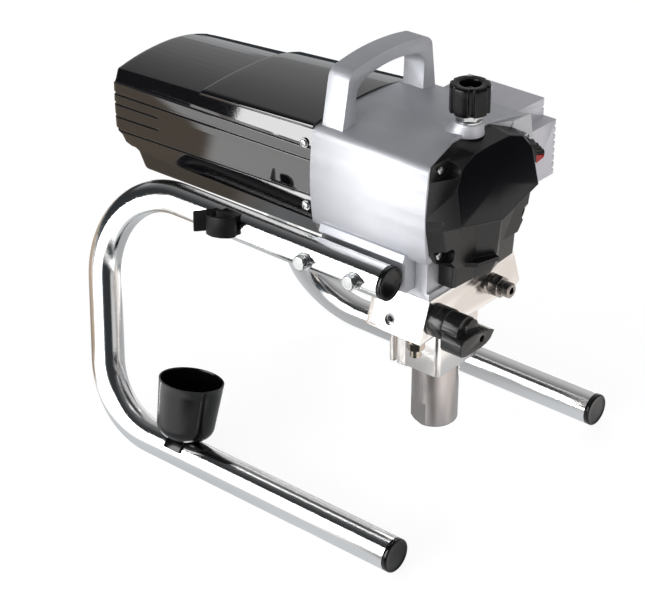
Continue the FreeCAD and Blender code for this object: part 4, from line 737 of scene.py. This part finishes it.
def cover_outline(share, short_depth):
    """Closed outline at a share of the length; short_depth is the depth of the short grooves."""
    loops = []
    for side, crown, which in ((FRONT_SIDE, CROWNS[0], 0), (BACK_SIDE, CROWNS[1], 1)):
        side = np.array(side, float)
        corners = [(*side[0], 4), (*side[1], 0.8)]
        for groove in GROOVES:
            z = groove[which]
            depth = GROOVE_DEPTH if groove[2] else short_depth
            for dz, sunk, radius in ((-2, 0, 0.7), (-1.2, depth, 0.3), (0.7, depth, 0.3), (1.3, 0, 0.5)):
                corners.append((np.interp(z + dz, side[:, 1], side[:, 0]) - sunk, z + dz, radius))
        corners += [(*side[4], 0.7), (*(side[4] + (-1.6, 0.9)), 0.3), (*side[5], 0.6), (*side[6], 2.2)]
        x = side[6][0] * np.cos(np.linspace(0.42, np.pi / 2, 9))
        corners += list(zip(x, roof(x, *side[6], crown), np.full(9, 30)))
        far = np.array(corners[:-1])
        top = np.clip((far[:, 1] - side[5][1]) / (side[6][1] - side[5][1]), 0, 1)
        far[:, 1] -= FAR_DROP * top * np.abs(far[:, 0] / side[6][0]) ** 1.9
        whole = np.array([(-a, b, c) for a, b, c in corners] + far[::-1].tolist())
        loops.append(round_loop(whole[:, :2], whole[:, 2], 4))
    return loops[0] * (1 - share) + loops[1] * share


def rear_end(z):
    """Where the cover ends at the back, at height z: stepped in below the grooves."""
    return np.interp(z, [236, 256, 257.2, 257.5, 274, 276, 400], [181.3, 183.5, 184, 200.9, 209, 210, 210])


print("points of the cover's outline", len(cover_outline(0, 0)))

# %% [markdown]
# The outlines follow one another to the back, shrink a little to round the rear rim, and run
# back inside, so the shell has a real thickness. Its large faces keep their own normals.

# %% Shell of the cover: outside rows, a rounded rim, and the inside rows back to the front
MIDDLE_Z, HALF_WIDTH, HALF_HEIGHT = 296, 68, 48
shares = np.concatenate([np.linspace(0, 0.73, 20), np.linspace(0.75, 0.8, 6), np.linspace(0.84, 0.975, 7)])
rim = [(0.982, 0.25), (0.989, 0.8), (0.994, 1.5), (0.998, 2.4), (1, 3.4), (1, 5), (0.992, 5.2)]
inside = [(0.97, 3), (0.5, 2.6), (0, 2.6)]
rows = []
for share, shrink in [(s, 0) for s in shares] + rim + inside:
    loop = cover_outline(share, GROOVE_DEPTH * min(max((share - 0.752) / 0.02, 0), 1))
    y = COVER_Y0 + (rear_end(loop[:, 1]) - COVER_Y0) * share
    loop = (0, MIDDLE_Z) + (loop - (0, MIDDLE_Z)) * (1 - shrink / np.array([HALF_WIDTH, HALF_HEIGHT]))
    rows.append(stack(loop[:, 0], y, loop[:, 1]))
shell = piece("motor_shell", [skin(np.array(rows), True)], "gloss_black", ["motor_cover"], sharp=30)
configured(shell.modifiers.new("flat_panels", "WEIGHTED_NORMAL"), dict(weight=80, keep_sharp=True))

# %% [markdown]
# The rear wall is moulded with the shell. Here it is one plate whose rows of points step
# inwards at the air slots, which gives every slot a floor and two crisp lips.

# %% Rear wall: a plate in the shell's end whose rows sink where the air slots are
SLOT_Z, SLOT_STEP, SLOT_COUNT, SLOT_DEPTH, PLATE = 298, 7, 4, 6, 8
heights = [240, 245, 250, 254, 257, 257.4, 260, 264, 268, 272, 276, 282, 288, 294]
for low in range(SLOT_Z, SLOT_Z + SLOT_STEP * SLOT_COUNT, SLOT_STEP):
    heights += [low - 0.3, low, low + 3.2, low + 3.5]
heights += [327, 330, 332, 334]
half_width = np.interp(heights, [237, 257, 274, 322, 334.8], [59.5, 64, 66.5, 66.5, 60.5])
across = np.array([-1, -0.9, -0.8, -0.75, -0.745, -0.5, -0.2, 0.2, 0.5, 0.745, 0.75, 0.8, 0.9, 1])
x = half_width[:, None] * across
z = np.repeat(np.array(heights, float)[:, None], len(across), 1)
slot = ((z - SLOT_Z) % SLOT_STEP < 3.25) & (z > SLOT_Z - 0.1) & (z < 323) & (np.abs(across) < 0.747)
y = rear_end(z) - 0.9 - SLOT_DEPTH * slot
z = z - 6.5 * np.clip((z - 318) / 16, 0, 1) * np.clip(x / 64, 0, 1) ** 1.5
outside = stack(x, y, z)
plate_rows = np.concatenate([outside, (outside - (0, PLATE, 0))[:, ::-1]], 1)
piece("rear_wall", [skin(plate_rows)], "gloss_black", sharp=28)

# %% [markdown]
# The hood is a second moulding clipped over the front of the roof. It follows the crowned
# top with a small overhang at both creases, and its rear edge is bowed and rounded.

# %% Hood: a saddle over the front part of the roof, with a rounded rear edge
HOOD_END, OVERHANG, RISE, SINK = 92, 1.9, 3.4, 0.6
rows = []
tail = [(0.976, 0.985), (0.983, 0.94), (0.989, 0.86), (0.994, 0.72), (0.998, 0.48), (1, 0.2), (1, 0)]
for share, thick in [(s, 1) for s in np.linspace(0, 0.968, 14)] + tail:
    t = share * (HOOD_END - COVER_Y0) / (COVER_Y1 - COVER_Y0)
    edge_x, edge_z = np.array(FRONT_SIDE[6]) * (1 - t) + np.array(BACK_SIDE[6]) * t
    crown = CROWNS[0] * (1 - t) + CROWNS[1] * t
    x = (edge_x + OVERHANG) * np.cos(np.linspace(0, np.pi, 41))
    drop = FAR_DROP * np.clip(x / edge_x, 0, 1) ** 1.9
    under = roof(np.clip(x, -edge_x, edge_x), edge_x, edge_z, crown) - SINK - drop
    rise = RISE * np.clip((edge_x + OVERHANG - np.abs(x)) / 2.2, 0, 1) ** 0.5
    over = under + SINK + (rise + 0.3) * thick
    y = COVER_Y0 + (HOOD_END + 4 * (x / edge_x) ** 2 - COVER_Y0) * share
    low_x = x * np.where(np.abs(x) > edge_x - 1, 0.985, 1)
    rows.append(np.concatenate([stack(x, y, over), stack(low_x, y, under - 1.2)[::-1]]))
piece("hood", [skin(np.array(rows))], "gloss_black", ["cover_hood"], sharp=40)

# %% [markdown]
# ## Pressure knob
# A moulded knob with six narrow flutes and a deep recess. Turned like the bolts, but its
# radius dips where a flute passes, and each flute has a raised lip on both sides. The nut
# under it has a round collar, and both stand on a cast boss that flares out at the rear.

# %% Pressure knob, the nut under it and the boss
KNOB_SPOT, UP = (0, -157, 0), (0, 0, 1)
FLUTE_DEPTH, FLUTE_HALF, COLLAR_ROWS = 2.1, 3.1, 5


def fluted(angle, radius, height):
    """r - 2.1*(1 - (d/3.1)^2)^0.5 inside a flute, + 0.25*exp(-((d - 3.6)/0.7)^2) on its lips."""
    step = np.pi / 3
    d = np.abs((angle - math.radians(10.3) + step / 2) % step - step / 2) * 19
    dip = FLUTE_DEPTH * np.sqrt(np.clip(1 - (d / FLUTE_HALF) ** 2, 0, 1))
    dip = dip - 0.25 * np.exp(-((d - 3.6) / 0.7) ** 2)
    return radius - dip * np.clip((radius - 14.2) / 3, 0, 1), height


def flared(angle, radius, height):
    """r*(1 + 1.3*s*w^2.4) at the rear, w = (366 - z)/12.5, s = 0.5 - 0.5*tanh(2.5*(cos(a) + 0.4))."""
    spread = 0.5 - 0.5 * np.tanh(2.5 * (np.cos(angle) + 0.4))
    return radius * (1 + 1.3 * spread * np.clip((366 - height) / 12.5, 0, 1) ** 2.4 * (radius > 6)), height


knob = [(6.2, 374.2), (15.8, 374), (17.2, 374), (17.7, 374.3), (17.9, 375), (18, 378), (18, 384),
        (18, 392), (18, 397.4), (17.85, 398.5), (17.3, 399.4), (16.4, 399.9), (15.4, 400),
        (13, 399.9), (10.8, 399.8), (10, 399.5), (9.6, 398.8), (9.5, 397.5), (9.5, 392.3), (9.2, 392),
        (5, 392), (3.1, 391.9), (3.1, 376), (6.2, 375)]
nut = [(5.7, 365), (11.6, 365), (12, 365.4), (12, 366.8), (11.6, 367.2), (11.2, 367.3),
       (11.54, 367.6), (11.54, 372.3), (10.6, 372.8), (9.6, 373), (5.7, 373)]
boss = [(5.7, 353.3), (13.9, 353.3), (13.8, 354.3), (13.6, 355.6), (13.5, 357), (13.4, 359), (13.3, 361),
        (13.1, 363), (12.9, 364.4), (12.5, 365), (5.7, 365.1)]
piece("knob_body", [turned(knob, KNOB_SPOT, UP, 180, fluted, True)], "satin_black", ["pressure_knob"],
      "knob_black", sharp=38, body="knob")
flats, faces = turned(nut, KNOB_SPOT, UP, 96, hexagon(20, 0.4), True)
collar = turned(nut, KNOB_SPOT, UP, 96)[0]
flats[:COLLAR_ROWS * 96] = collar[:COLLAR_ROWS * 96]
piece("knob_nut_ring", [(flats, faces)], "zinc_steel", ["knob_nut"])
piece("knob_boss", [turned(boss, KNOB_SPOT, UP, 64, flared, True)], "cast_silver")

# %% [markdown]
# ## Drip cup
# A thin injection-moulded cup with a round base, a rib down its back and a split band that
# snaps onto the foot tube. The wall is one profile that goes up outside and down inside; the
# rib and the band are sections moved along a line and along an arc.

# %% Drip cup with rib and band
LEAN, RIB_AIM = math.radians(12.5), math.radians(243)
CUP_SPOT = np.array([-157, 49.4, 16])


def in_cup(grid):
    """Cup coordinates to the frame: x cos + z sin, -x sin + z cos, then moved."""
    x, y, z = grid[..., 0], grid[..., 1], grid[..., 2]
    c, s = math.cos(LEAN), math.sin(LEAN)
    return stack(x * c + z * s, y, z * c - x * s) + CUP_SPOT


def corner(radius, height):
    """Quarter circle of the base: (14.6 + r sin(a), height - r cos(a))."""
    quarter = np.linspace(0, np.pi / 2, 9)
    return [(14.6 + radius * math.sin(a), height - radius * math.cos(a)) for a in quarter]


outer_wall = [(27.6 + 3.3 * k, 29.4 + 43.4 * k) for k in (0.03, 0.2, 0.5, 0.8, 1)]
lip = [(31, 73), (30.75, 73.3), (30.2, 73.42), (29.7, 73.3), (29.45, 73)]
inner_wall = [(26.2 + 3.2 * k, 30 + 43 * k) for k in (0.97, 0.8, 0.5, 0.2, 0.03)]
cup = [(0, 16.4)] + corner(13, 29.4) + outer_wall + lip + inner_wall
cup += corner(11.6, 30)[::-1] + [(0, 18.4)]
wall = in_cup(turned(cup, (0, 0, 0), UP, 128)[0]).reshape(len(cup), 128, 3)
z = np.linspace(29.5, 72.6, 12)[:, None]
side = np.array([[-0.6, 0.9], [0.95, 0.9], [1.2, 0.65], [1.2, -0.65], [0.95, -0.9], [-0.6, -0.9]])
out_by = 27.75 + (z - 29.4) * 0.0755 + side[None, :, 0] * np.array([0.4] + [1] * 10 + [0.3])[:, None]
rib = in_cup(stack(out_by * math.cos(RIB_AIM) - side[None, :, 1] * math.sin(RIB_AIM),
                   out_by * math.sin(RIB_AIM) + side[None, :, 1] * math.cos(RIB_AIM), z + 0 * out_by))
sweep = np.radians(np.linspace(-29, 162, 60))[:, None]
band = round_loop([(16.2, -10), (18.5, -10), (18.5, 10), (16.2, 10)], 0.6, 2)[None]
grip = in_cup(stack(band[..., 0] * np.cos(sweep), band[..., 1], band[..., 0] * np.sin(sweep)))
piece("cup_shell", [skin(wall), skin(rib), skin(grip)], "satin_black", ["drip_cup"], "cup_black", 40, "cup")

# %% [markdown]
# ## Fluid fittings
# The outlet and the return nipple are bar-turned. Profiles give the flange, the hexagon and
# the bore; the thread is a real helix: its ridge height depends on how far the angle and the
# height together are from the thread's crest.

# %% Outlet fitting with its thread, and the return nipple
PITCH, THREAD_DEPTH = 1.27, 0.84


def threaded(angle, radius, height):
    """r + 0.84*clip(|1 - 2*frac(h/p - a/2pi)| - 0.25, 0, 0.5)/0.5 - 0.84 on the threaded run."""
    phase = (height / PITCH - angle / (2 * np.pi)) % 1
    ridge = THREAD_DEPTH * np.clip(np.abs(1 - 2 * phase) - 0.25, 0, 0.5) / 0.5 - THREAD_DEPTH
    on = (radius > 6) & (height > 16.1) & (height < 23.6)
    return radius + np.where(on, ridge, 0), height


def fitting(name, runs, spot, axis, sides, stands_for, look=None):
    """Hollow turned runs on one axis as a piece."""
    skins = [turned(profile, spot, axis, sides, shape, True) for profile, shape in runs]
    piece(name, skins, "nickel_fitting", [stands_for], look, sharp=30)


thread = [(7.6, 13.3), (7.6, 15.3), (6.4, 15.6), (6.2, 16)]
thread += [(7.3, h) for h in np.linspace(16.2, 23.5, 47)]
thread += [(6.3, 23.7), (5.9, 24), (3.6, 24), (3.3, 23.7), (3.3, 13.3)]
fitting("outlet_turned", [
    ([(3.3, 0.02), (9.6, 0.02), (10, 0.4), (10, 3), (9.7, 3.45), (3.3, 3.5)], None),
    ([(3.3, 3.5), (9.2, 3.55), (10.2, 3.9), (10.97, 4.6), (10.97, 12.4), (10.2, 13.1), (9.2, 13.5),
      (3.3, 13.5)], hexagon(19, 0.6)),
    (thread, threaded)], (28, -167, 197), (0, -1, 0), 72, "outlet_fitting", "dark_steel")
fitting("nipple_turned", [
    ([(2.9, 176.6), (5.8, 176.6), (6, 176.3), (6, 172.6), (8.1, 172.5), (8.3, 172.3), (8.3, 170.3),
      (8.1, 170), (2.9, 170)], None),
    ([(2.9, 170), (7.6, 170), (8.4, 169.5), (8.66, 169), (8.66, 163), (8.3, 162.4), (7.5, 162),
      (2.9, 162)], hexagon(15, 0.5)),
    ([(2.9, 162.3), (5.3, 162.2), (5.3, 158.2), (5, 157.9), (5, 157.3), (5.4, 157), (5.4, 154.6),
      (5, 154.1), (3.1, 154.1), (2.9, 154.4)], None)], (-60, -151, 0), UP, 64, "return_nipple")

# %% [markdown]
# The intake housing is a bored steel cylinder with two wrench flats near its foot. It is one
# profile, up the outside and down the bore, whose radius is cut where the flats pass.

# %% Intake housing with its wrench flats
FLAT_HALF, FLAT_TURN, FLAT_TOP = 18.6, 0.31, 77.3


def wrench_flats(angle, radius, height):
    """min(r, 18.6/|sin(a + 0.31)|) below z 77.3, for the outside only."""
    wall = FLAT_HALF / np.maximum(np.abs(np.sin(angle + FLAT_TURN)), 0.3)
    return np.where((height < FLAT_TOP) & (radius > 17), np.minimum(radius, wall), radius), height


intake = [(14.2, 52.6), (19.4, 52.5), (20.2, 53), (21.6, 54.4), (22, 55.3), (22, 65), (22, 77.2),
          (22, 77.5), (22, 90), (22, 104), (22, 117.9), (16, 118), (16, 84), (12, 83.9),
          (12, 80), (14, 79.9), (14, 53)]
piece("intake_turned", [turned(intake, (0, -129, 0), UP, 144, wrench_flats, True)], "turned_steel",
      ["intake_housing"], sharp=20)

# %% [markdown]
# Behind the square front part the pump block carries two milled ribs on each side. They are
# one outline seen from above, with rounded corners, drawn down from the manifold.

# %% Ribs on the sides of the pump block
half = [(-30.5, -118, 0.4), (-30.5, -107, 0.8), (-25.5, -106.6, 0.8), (-25.5, -103, 0.8),
        (-30.5, -102.6, 0.8), (-30.5, -98.3, 1.2), (-20, -98.3, 2)]
plan = np.array(half + mirrored(half))
loop = round_loop(plan[:, :2], plan[:, 2], 5)
rows = [stack(loop[:, 0] * k, -108 + (loop[:, 1] + 108) * k, z)
        for z, k in ((157, 1), (116.8, 1), (116.2, 0.985), (116, 0.96))]
piece("block_ribs", [skin(np.array(rows))], "machined_aluminium")

# %% [markdown]
# ## Pan head screws
# Cold-headed screws with a cross recess. The head is turned in fine rings, and the rings
# inside the cross drop: a point is in the cross when it lies in either of two crossed bars.

# %% Screws of both covers, of the hose clip and of the knob
SHANK_R, SEAT_Y = 1.95, -171.8


def cross_recess(head_r, depth):
    """Shape that lowers the head by depth where min(|u|, |v|) < 0.14 R and max(|u|, |v|) < 0.58 R."""
    def cut(angle, radius, height):
        u, v = np.abs(radius * np.cos(angle + 0.3)), np.abs(radius * np.sin(angle + 0.3))
        inside = (np.minimum(u, v) < 0.14 * head_r) & (np.maximum(u, v) < 0.58 * head_r) & (height > 0.6)
        return radius, height - inside * depth * (1 - 0.4 * np.maximum(u, v) / head_r)
    return cut


def pan_head(seat, axis, head_r, head_t, washer_r=0, washer_t=0, length=10):
    """Shank, washer and domed head t*(1 - 0.18*k^2) with its recess, as skins."""
    rings = (0.02, 0.1, 0.16, 0.25, 0.35, 0.45, 0.55, 0.6, 0.75)
    profile = [(0, head_t)] + [(head_r * k, head_t * (1 - 0.18 * k * k)) for k in rings]
    profile += [(head_r * 0.92, head_t * 0.78), (head_r, head_t * 0.5), (head_r, 0.15), (head_r - 0.15, 0),
                (SHANK_R, 0), (SHANK_R, -length), (0, -length)]
    lifted = np.array(seat, float) + np.array(axis, float) * washer_t
    skins = [turned(profile, lifted, axis, 48, cross_recess(head_r, head_t * 0.5))]
    if washer_r:
        flat = [(0, 0), (washer_r, 0), (washer_r, washer_t * 0.8), (washer_r - 0.2, washer_t), (0, washer_t)]
        skins.append(turned(flat, seat, axis, 40))
    return skins


screws = []
for y, z, half_x in ((-35, 334, 75.8), (-36, 272.7, 74.6)):
    for side in (-1, 1):
        screws += pan_head((side * half_x, y, z), (side, 0, 0), 3.6, 2.4, 4.6, 1)
for x, z, head_r in ((-60.5, 344, 3.7), (-59.5, 262.3, 3.7), (62, 333, 3.5), (59.5, 262.3, 3.7)):
    screws += pan_head((x, SEAT_Y, z), (0, -1, 0), head_r, 2.6)
screws += pan_head((-111.5, 31, 246), (-1, 0, 0), 3.6, 1.8)
piece("knob_screw_head", pan_head((0, -157, 391.5), UP, 3.6, 4.2, length=2), "zinc_steel", sharp=35,
      body="knob")
piece("pan_screws", screws, "zinc_steel", ["outer_screws"], sharp=35)

# %% [markdown]
# ## Front cover
# The real cover is one injection moulding with flat facets and small edge radii. Each of its
# three volumes runs from a rear outline to a front outline. The screws stand in round pockets
# that are open to the side: grid points near a pocket's outline slide onto it, the cells
# inside are left out, and a wall goes down from the rim to the screw's seat.

# %% Helpers for faceted volumes with pockets
POCKETS = [(-53.8, 343.6, 7.5), (-55, 262, 7.3), (58, 262, 7.3), (61.5, 333, 4.6)]
GAP, EDGE_REACH = 0.8, 0.9


def corner_arcs(loop, reach=EDGE_REACH):
    """Each corner becomes a curve from a to b, both at reach from it."""
    loop = np.array(loop, float)
    a, b = (loop + unit(np.roll(loop, k, 0) - loop) * reach for k in (1, -1))
    return curve(a[:, None], loop[:, None], b[:, None], np.linspace(0, 1, 5)[None, :, None]).reshape(-1, 3)


def refine(loops):
    """Both loops get the same extra points, so that no side of either is longer than the gap."""
    lengths = np.max([np.linalg.norm(np.roll(p, -1, 0) - p, axis=1) for p in loops], axis=0)
    parts = np.ceil(lengths / GAP).astype(int)
    index = np.repeat(np.arange(len(parts)), parts)
    share = (np.arange(len(index)) - np.repeat(np.cumsum(parts) - parts, parts)) / parts[index]
    return [p[index] + (np.roll(p, -1, 0)[index] - p[index]) * share[:, None] for p in loops]


def loft(rear, front, centre):
    """Rows from the rear outline to the front one, a rounded rim, then rows to the centre."""
    rear, front = refine([corner_arcs(rear), corner_arcs(front)])
    centre = np.array(centre, float)
    reach = np.linalg.norm(front - rear, axis=1).max()
    far = np.linalg.norm(front - centre, axis=1).max()
    rows = [centre + (rear - centre) * (k, 1, k) for k in (0.02, 0.985)]
    rows += [rear + (front - rear) * t for t in np.linspace(0, 1 - EDGE_REACH / reach, int(reach / GAP))]
    last, edge = rows[-1], centre + (front - centre) * (1 - 0.7 / far)
    rows += [curve(last, front, edge, t) for t in np.linspace(0.15, 1, 6)]
    rows += [centre + (edge - centre) * t for t in np.linspace(1 - GAP / far, 0.01, int(far / GAP))]
    return np.array(rows)


def pocket_distance(points, pocket):
    """hypot(max(way to the closed end, 0), z - pz) - r: below zero inside the pocket."""
    px, pz, radius = pocket
    return np.hypot(np.maximum((px - points[..., 0]) * np.sign(px), 0), points[..., 2] - pz) - radius


def carved(grid):
    """Newton's step s/|grad s| slides near points onto the outlines; cells inside are dropped."""
    for pocket in POCKETS:
        dist = pocket_distance(grid, pocket)
        (down, across), (d_down, d_across) = np.gradient(dist), np.gradient(grid, axis=(0, 1))
        step = -dist / (down ** 2 + across ** 2 + 1e-9)
        near = np.abs(step) * np.hypot(down, across) < 0.6
        near[:3] &= np.abs(dist[:3]) < 0.5
        slide = down[..., None] * d_down + across[..., None] * d_across
        grid = grid + np.where(near, step, 0)[..., None] * slide
    points = grid.reshape(-1, 3)
    faces = np.array(outward(points, grid_faces(*grid.shape[:2])))
    middle = points[faces].mean(1)
    inside = np.min([pocket_distance(middle, pocket) for pocket in POCKETS], axis=0) < 0
    return points, faces[~(inside & (middle[:, 1] < SEAT_Y))].tolist(), True


def pocket_wall(pocket, surface, edge_x):
    """Wall from the rim down to the seat, with the rim's depth taken from the cut surface."""
    px, pz, radius = pocket
    side = -np.sign(px)
    rim = surface[(np.abs(pocket_distance(surface, pocket)) < 0.06) & (surface[:, 1] < SEAT_Y - 0.1)]
    a = (rim[:, 0] - px) * side
    turn = np.pi / 2 - np.arctan2(rim[:, 2] - pz, a)
    way = np.where(a > 0, radius * turn, np.where(rim[:, 2] > pz, a, np.pi * radius - a))
    order = np.argsort(way)
    way, depth = way[order], rim[order, 1]
    p = np.linspace(way[0], way[-1], 90)
    turn = np.pi / 2 - np.clip(p / radius, 0, np.pi)
    x = px + side * (radius * np.cos(turn) + np.minimum(p, 0) + np.minimum(np.pi * radius - p, 0))
    z = pz + radius * np.sin(turn)
    y = np.interp(p, way, depth)
    rows = np.array([stack(x, SEAT_Y + (y - SEAT_Y) * t, z) for t in np.linspace(0, 1, 8)])
    walls = outward(rows.reshape(-1, 3) - (px, SEAT_Y, pz), grid_faces(8, 90, False, False))
    z = pz + radius * np.linspace(-1, 1, 12)
    ends = np.sort([np.full(12, px + side * radius), -side * np.interp(z, *edge_x)], axis=0)
    floor = np.stack([stack(end, SEAT_Y, z) for end in ends])
    return [(rows.reshape(-1, 3), [f[::-1] for f in walls], True),
            (floor.reshape(-1, 3), [[k, k + 12, k + 13, k + 1] for k in range(11)], True)]


# %% [markdown]
# The upper body carries the panel, the flanks lie behind it on both sides, and the keel runs
# down the middle to the small visor over the outlet. The housing's own corner closes the gap
# over the lower right-hand edge.

# %% Front cover: upper body, flanks, keel and the small visor
TOP_Y, TOP_Z, FACE_SLOPE, REAR_Y, FLANK_Y = -182.3, 349.4, 0.221, -171, -182
half_rear = [(-76, 288), (-77.2, 303), (-72, 350.5)]
far_rear = [(47, 346), (70.5, 331), (76.3, 288)]
half_front = [(-56.6, 294.6), (-55, 328), (-43.2, 343.2), (-25.5, TOP_Z)]
rear = [(0, REAR_Y, 276)] + [(x, REAR_Y, z) for x, z in half_rear]
rear += [(-26, -159.5, 353.2), (26, -159.5, 353.2)] + [(x, REAR_Y, z) for x, z in far_rear]
front = [(0, 281.8)] + half_front + mirrored(half_front)
upper = loft(rear, [(x, TOP_Y - FACE_SLOPE * (TOP_Z - z), z) for x, z in front], (0, -186.5, 316))
flank_rear = [(-48, 247), (-63.5, 256), (-70.8, 266), (-76.2, 290), (-77.2, 301)]
flank_front = [(-46, 247), (-54, 257), (-59.5, 267), (-65, 290), (-66.5, 300)]
sides = [[(x, y, z) for x, z in side] for side, y in ((flank_rear, REAR_Y), (flank_front, FLANK_Y))]
whole = [[(0, side[0][1], 247)] + side + [(0, side[0][1], 302)] + mirrored(side) for side in sides]
cut = [carved(upper), carved(loft(*whole, (0, FLANK_Y, 274)))]
keel = []
for z, crest, reach, depth in ((226, -186, -181, -179.5), (238, -191.5, -181.9, -180.4),
                               (290, -196.5, -183.5, -182.5)):
    plan = [(-46, -163.2), (-46, depth + 2), (-42.5, depth), (-18, reach), (0, crest)]
    keel.append(corner_arcs([(x, y, z) for x, y in plan + mirrored(plan[:-1])], 0.7))
visor = [[(x, y, z) for x, y in ((-35, -178), (-25, -191), (-3, -197), (1, -187), (-4, -178))]
         for z in (243, 247)]
solids = [skin(np.array(keel)), skin(np.array(visor))]
left_edge = ([247, 256, 266, 290, 304, 350.5], [48, 63.5, 70.8, 76.2, 77, 71.8])
right_edge = ([247, 256, 266, 290, 304, 331, 346], [48, 63.5, 70.8, 76.2, 76, 70.5, 47])
for pocket, which in zip(POCKETS, (0, 1, 1, 0)):
    solids += pocket_wall(pocket, cut[which][0], left_edge if pocket[0] < 0 else right_edge)
corner_plan = np.array([(47, 352.3), (72, 350.6), (76.4, 333), (76, 318), (66, 318), (44, 344)])
plate = np.array([stack(corner_plan[:, 0], y, corner_plan[:, 1]) for y in (-171.15, -168)])
wedge = np.array([[(26, -159.6, z), (47, -170.9, z - d), (72, -170.9, z - 2 * d)]
                  for z, d in ((340, 0), (353.3, 1.35))])
piece("housing_corner", [skin(plate), skin(wedge)], "cast_silver")
piece("cover_front", cut + solids, "satin_black", ["front_cover"], sharp=24)

# %% [markdown]
# ## Front panel
# A thin gloss sheet set into the front cover. It is drawn along the panel's normal from an
# outline with rounded corners, with a rounded rim that catches one line of light, and its
# face is crowned by a few tenths so that the reflection runs off softly.

# %% Crowned front panel
PLAY, PANEL_LIFT, CROWN = 0.35, 0.13, 0.5
panel_normal = np.array([0, -1, FACE_SLOPE]) / math.hypot(1, FACE_SLOPE)


def on_panel(u, v, h):
    """Point on y = -182.3 - 0.221*(349.4 - z), moved along the normal by h."""
    return stack(u, TOP_Y - FACE_SLOPE * (TOP_Z - v), v) + h[..., None] * panel_normal


half = [(0, 350.2), (25.5, 349.4), (43.2, 343.2), (55, 328), (56.6, 294.6), (0, 281.8)]
half = [(x * (1 - PLAY / 56.6), 316 + (z - 316) * (1 - PLAY / 34)) for x, z in half]
outline = round_loop(half + mirrored(half[1:-1]), [2, 5, 9, 9, 5, 3, 5, 9, 9, 5], 7)
levels = [(-1.4, 0.3), (-1.4, 0), (-0.3, 0), (-0.08, 0.06), (0.06, 0.22), (0.12, 0.5), (PANEL_LIFT, 1.2)]
rings = [(inset(outline, d), h) for h, d in levels]
middle = np.array([0, 315.5])
rings += [(middle + (rings[6][0] - middle) * k, PANEL_LIFT + CROWN * (1 - k * k))
          for k in (0.85, 0.65, 0.45, 0.25, 0.08)]
sheet = np.array([on_panel(*ring.T, np.full(len(ring), h)) for ring, h in rings])
piece("panel_sheet", [skin(sheet)], "panel_black", ["front_panel"], sharp=50)

# %% [markdown]
# ## Cast, moulded and machined bodies
# These keep the shape of their solids, but real castings and mouldings have no knife edges:
# a merged copy of each mesh gets a small bevel, wider on castings than on machined parts.

# %% Softened copies
ARCH_Z, ARCH_TOP, ARCH_DROP, ARCH_LEAN = 356, 57.5, 5.6, 3


def lower_arch(at):
    """Above z 356 the arch loses a tenth of its height and leans out by up to 3 mm at the right."""
    x, y, z = at.T
    up = np.clip((z - ARCH_Z) / ARCH_TOP, 0, 1)
    return stack(x + ARCH_LEAN * up * np.clip(x / 40, 0, 1), y, z - ARCH_DROP * up)


softened("gear_housing", 0.9, bend=lower_arch)
for row in (("control_box", 0.7, "box_silver"), ("fluid_manifold", 0.5), ("manifold_plug", 0.3, "hard_steel"),
            ("pump_block", 0.7), ("prime_valve_body", 0.5, "lever_black"),
            ("prime_handle", 0.6, "lever_black", "prime_lever"), ("hose_clip", 0.4, "clip_black"),
            ("switch_body", 0.3), ("switch_rocker", 0.35, None, "power_rocker"),
            ("switch_mark", 0.25, None, "power_rocker")):
    softened(*row)
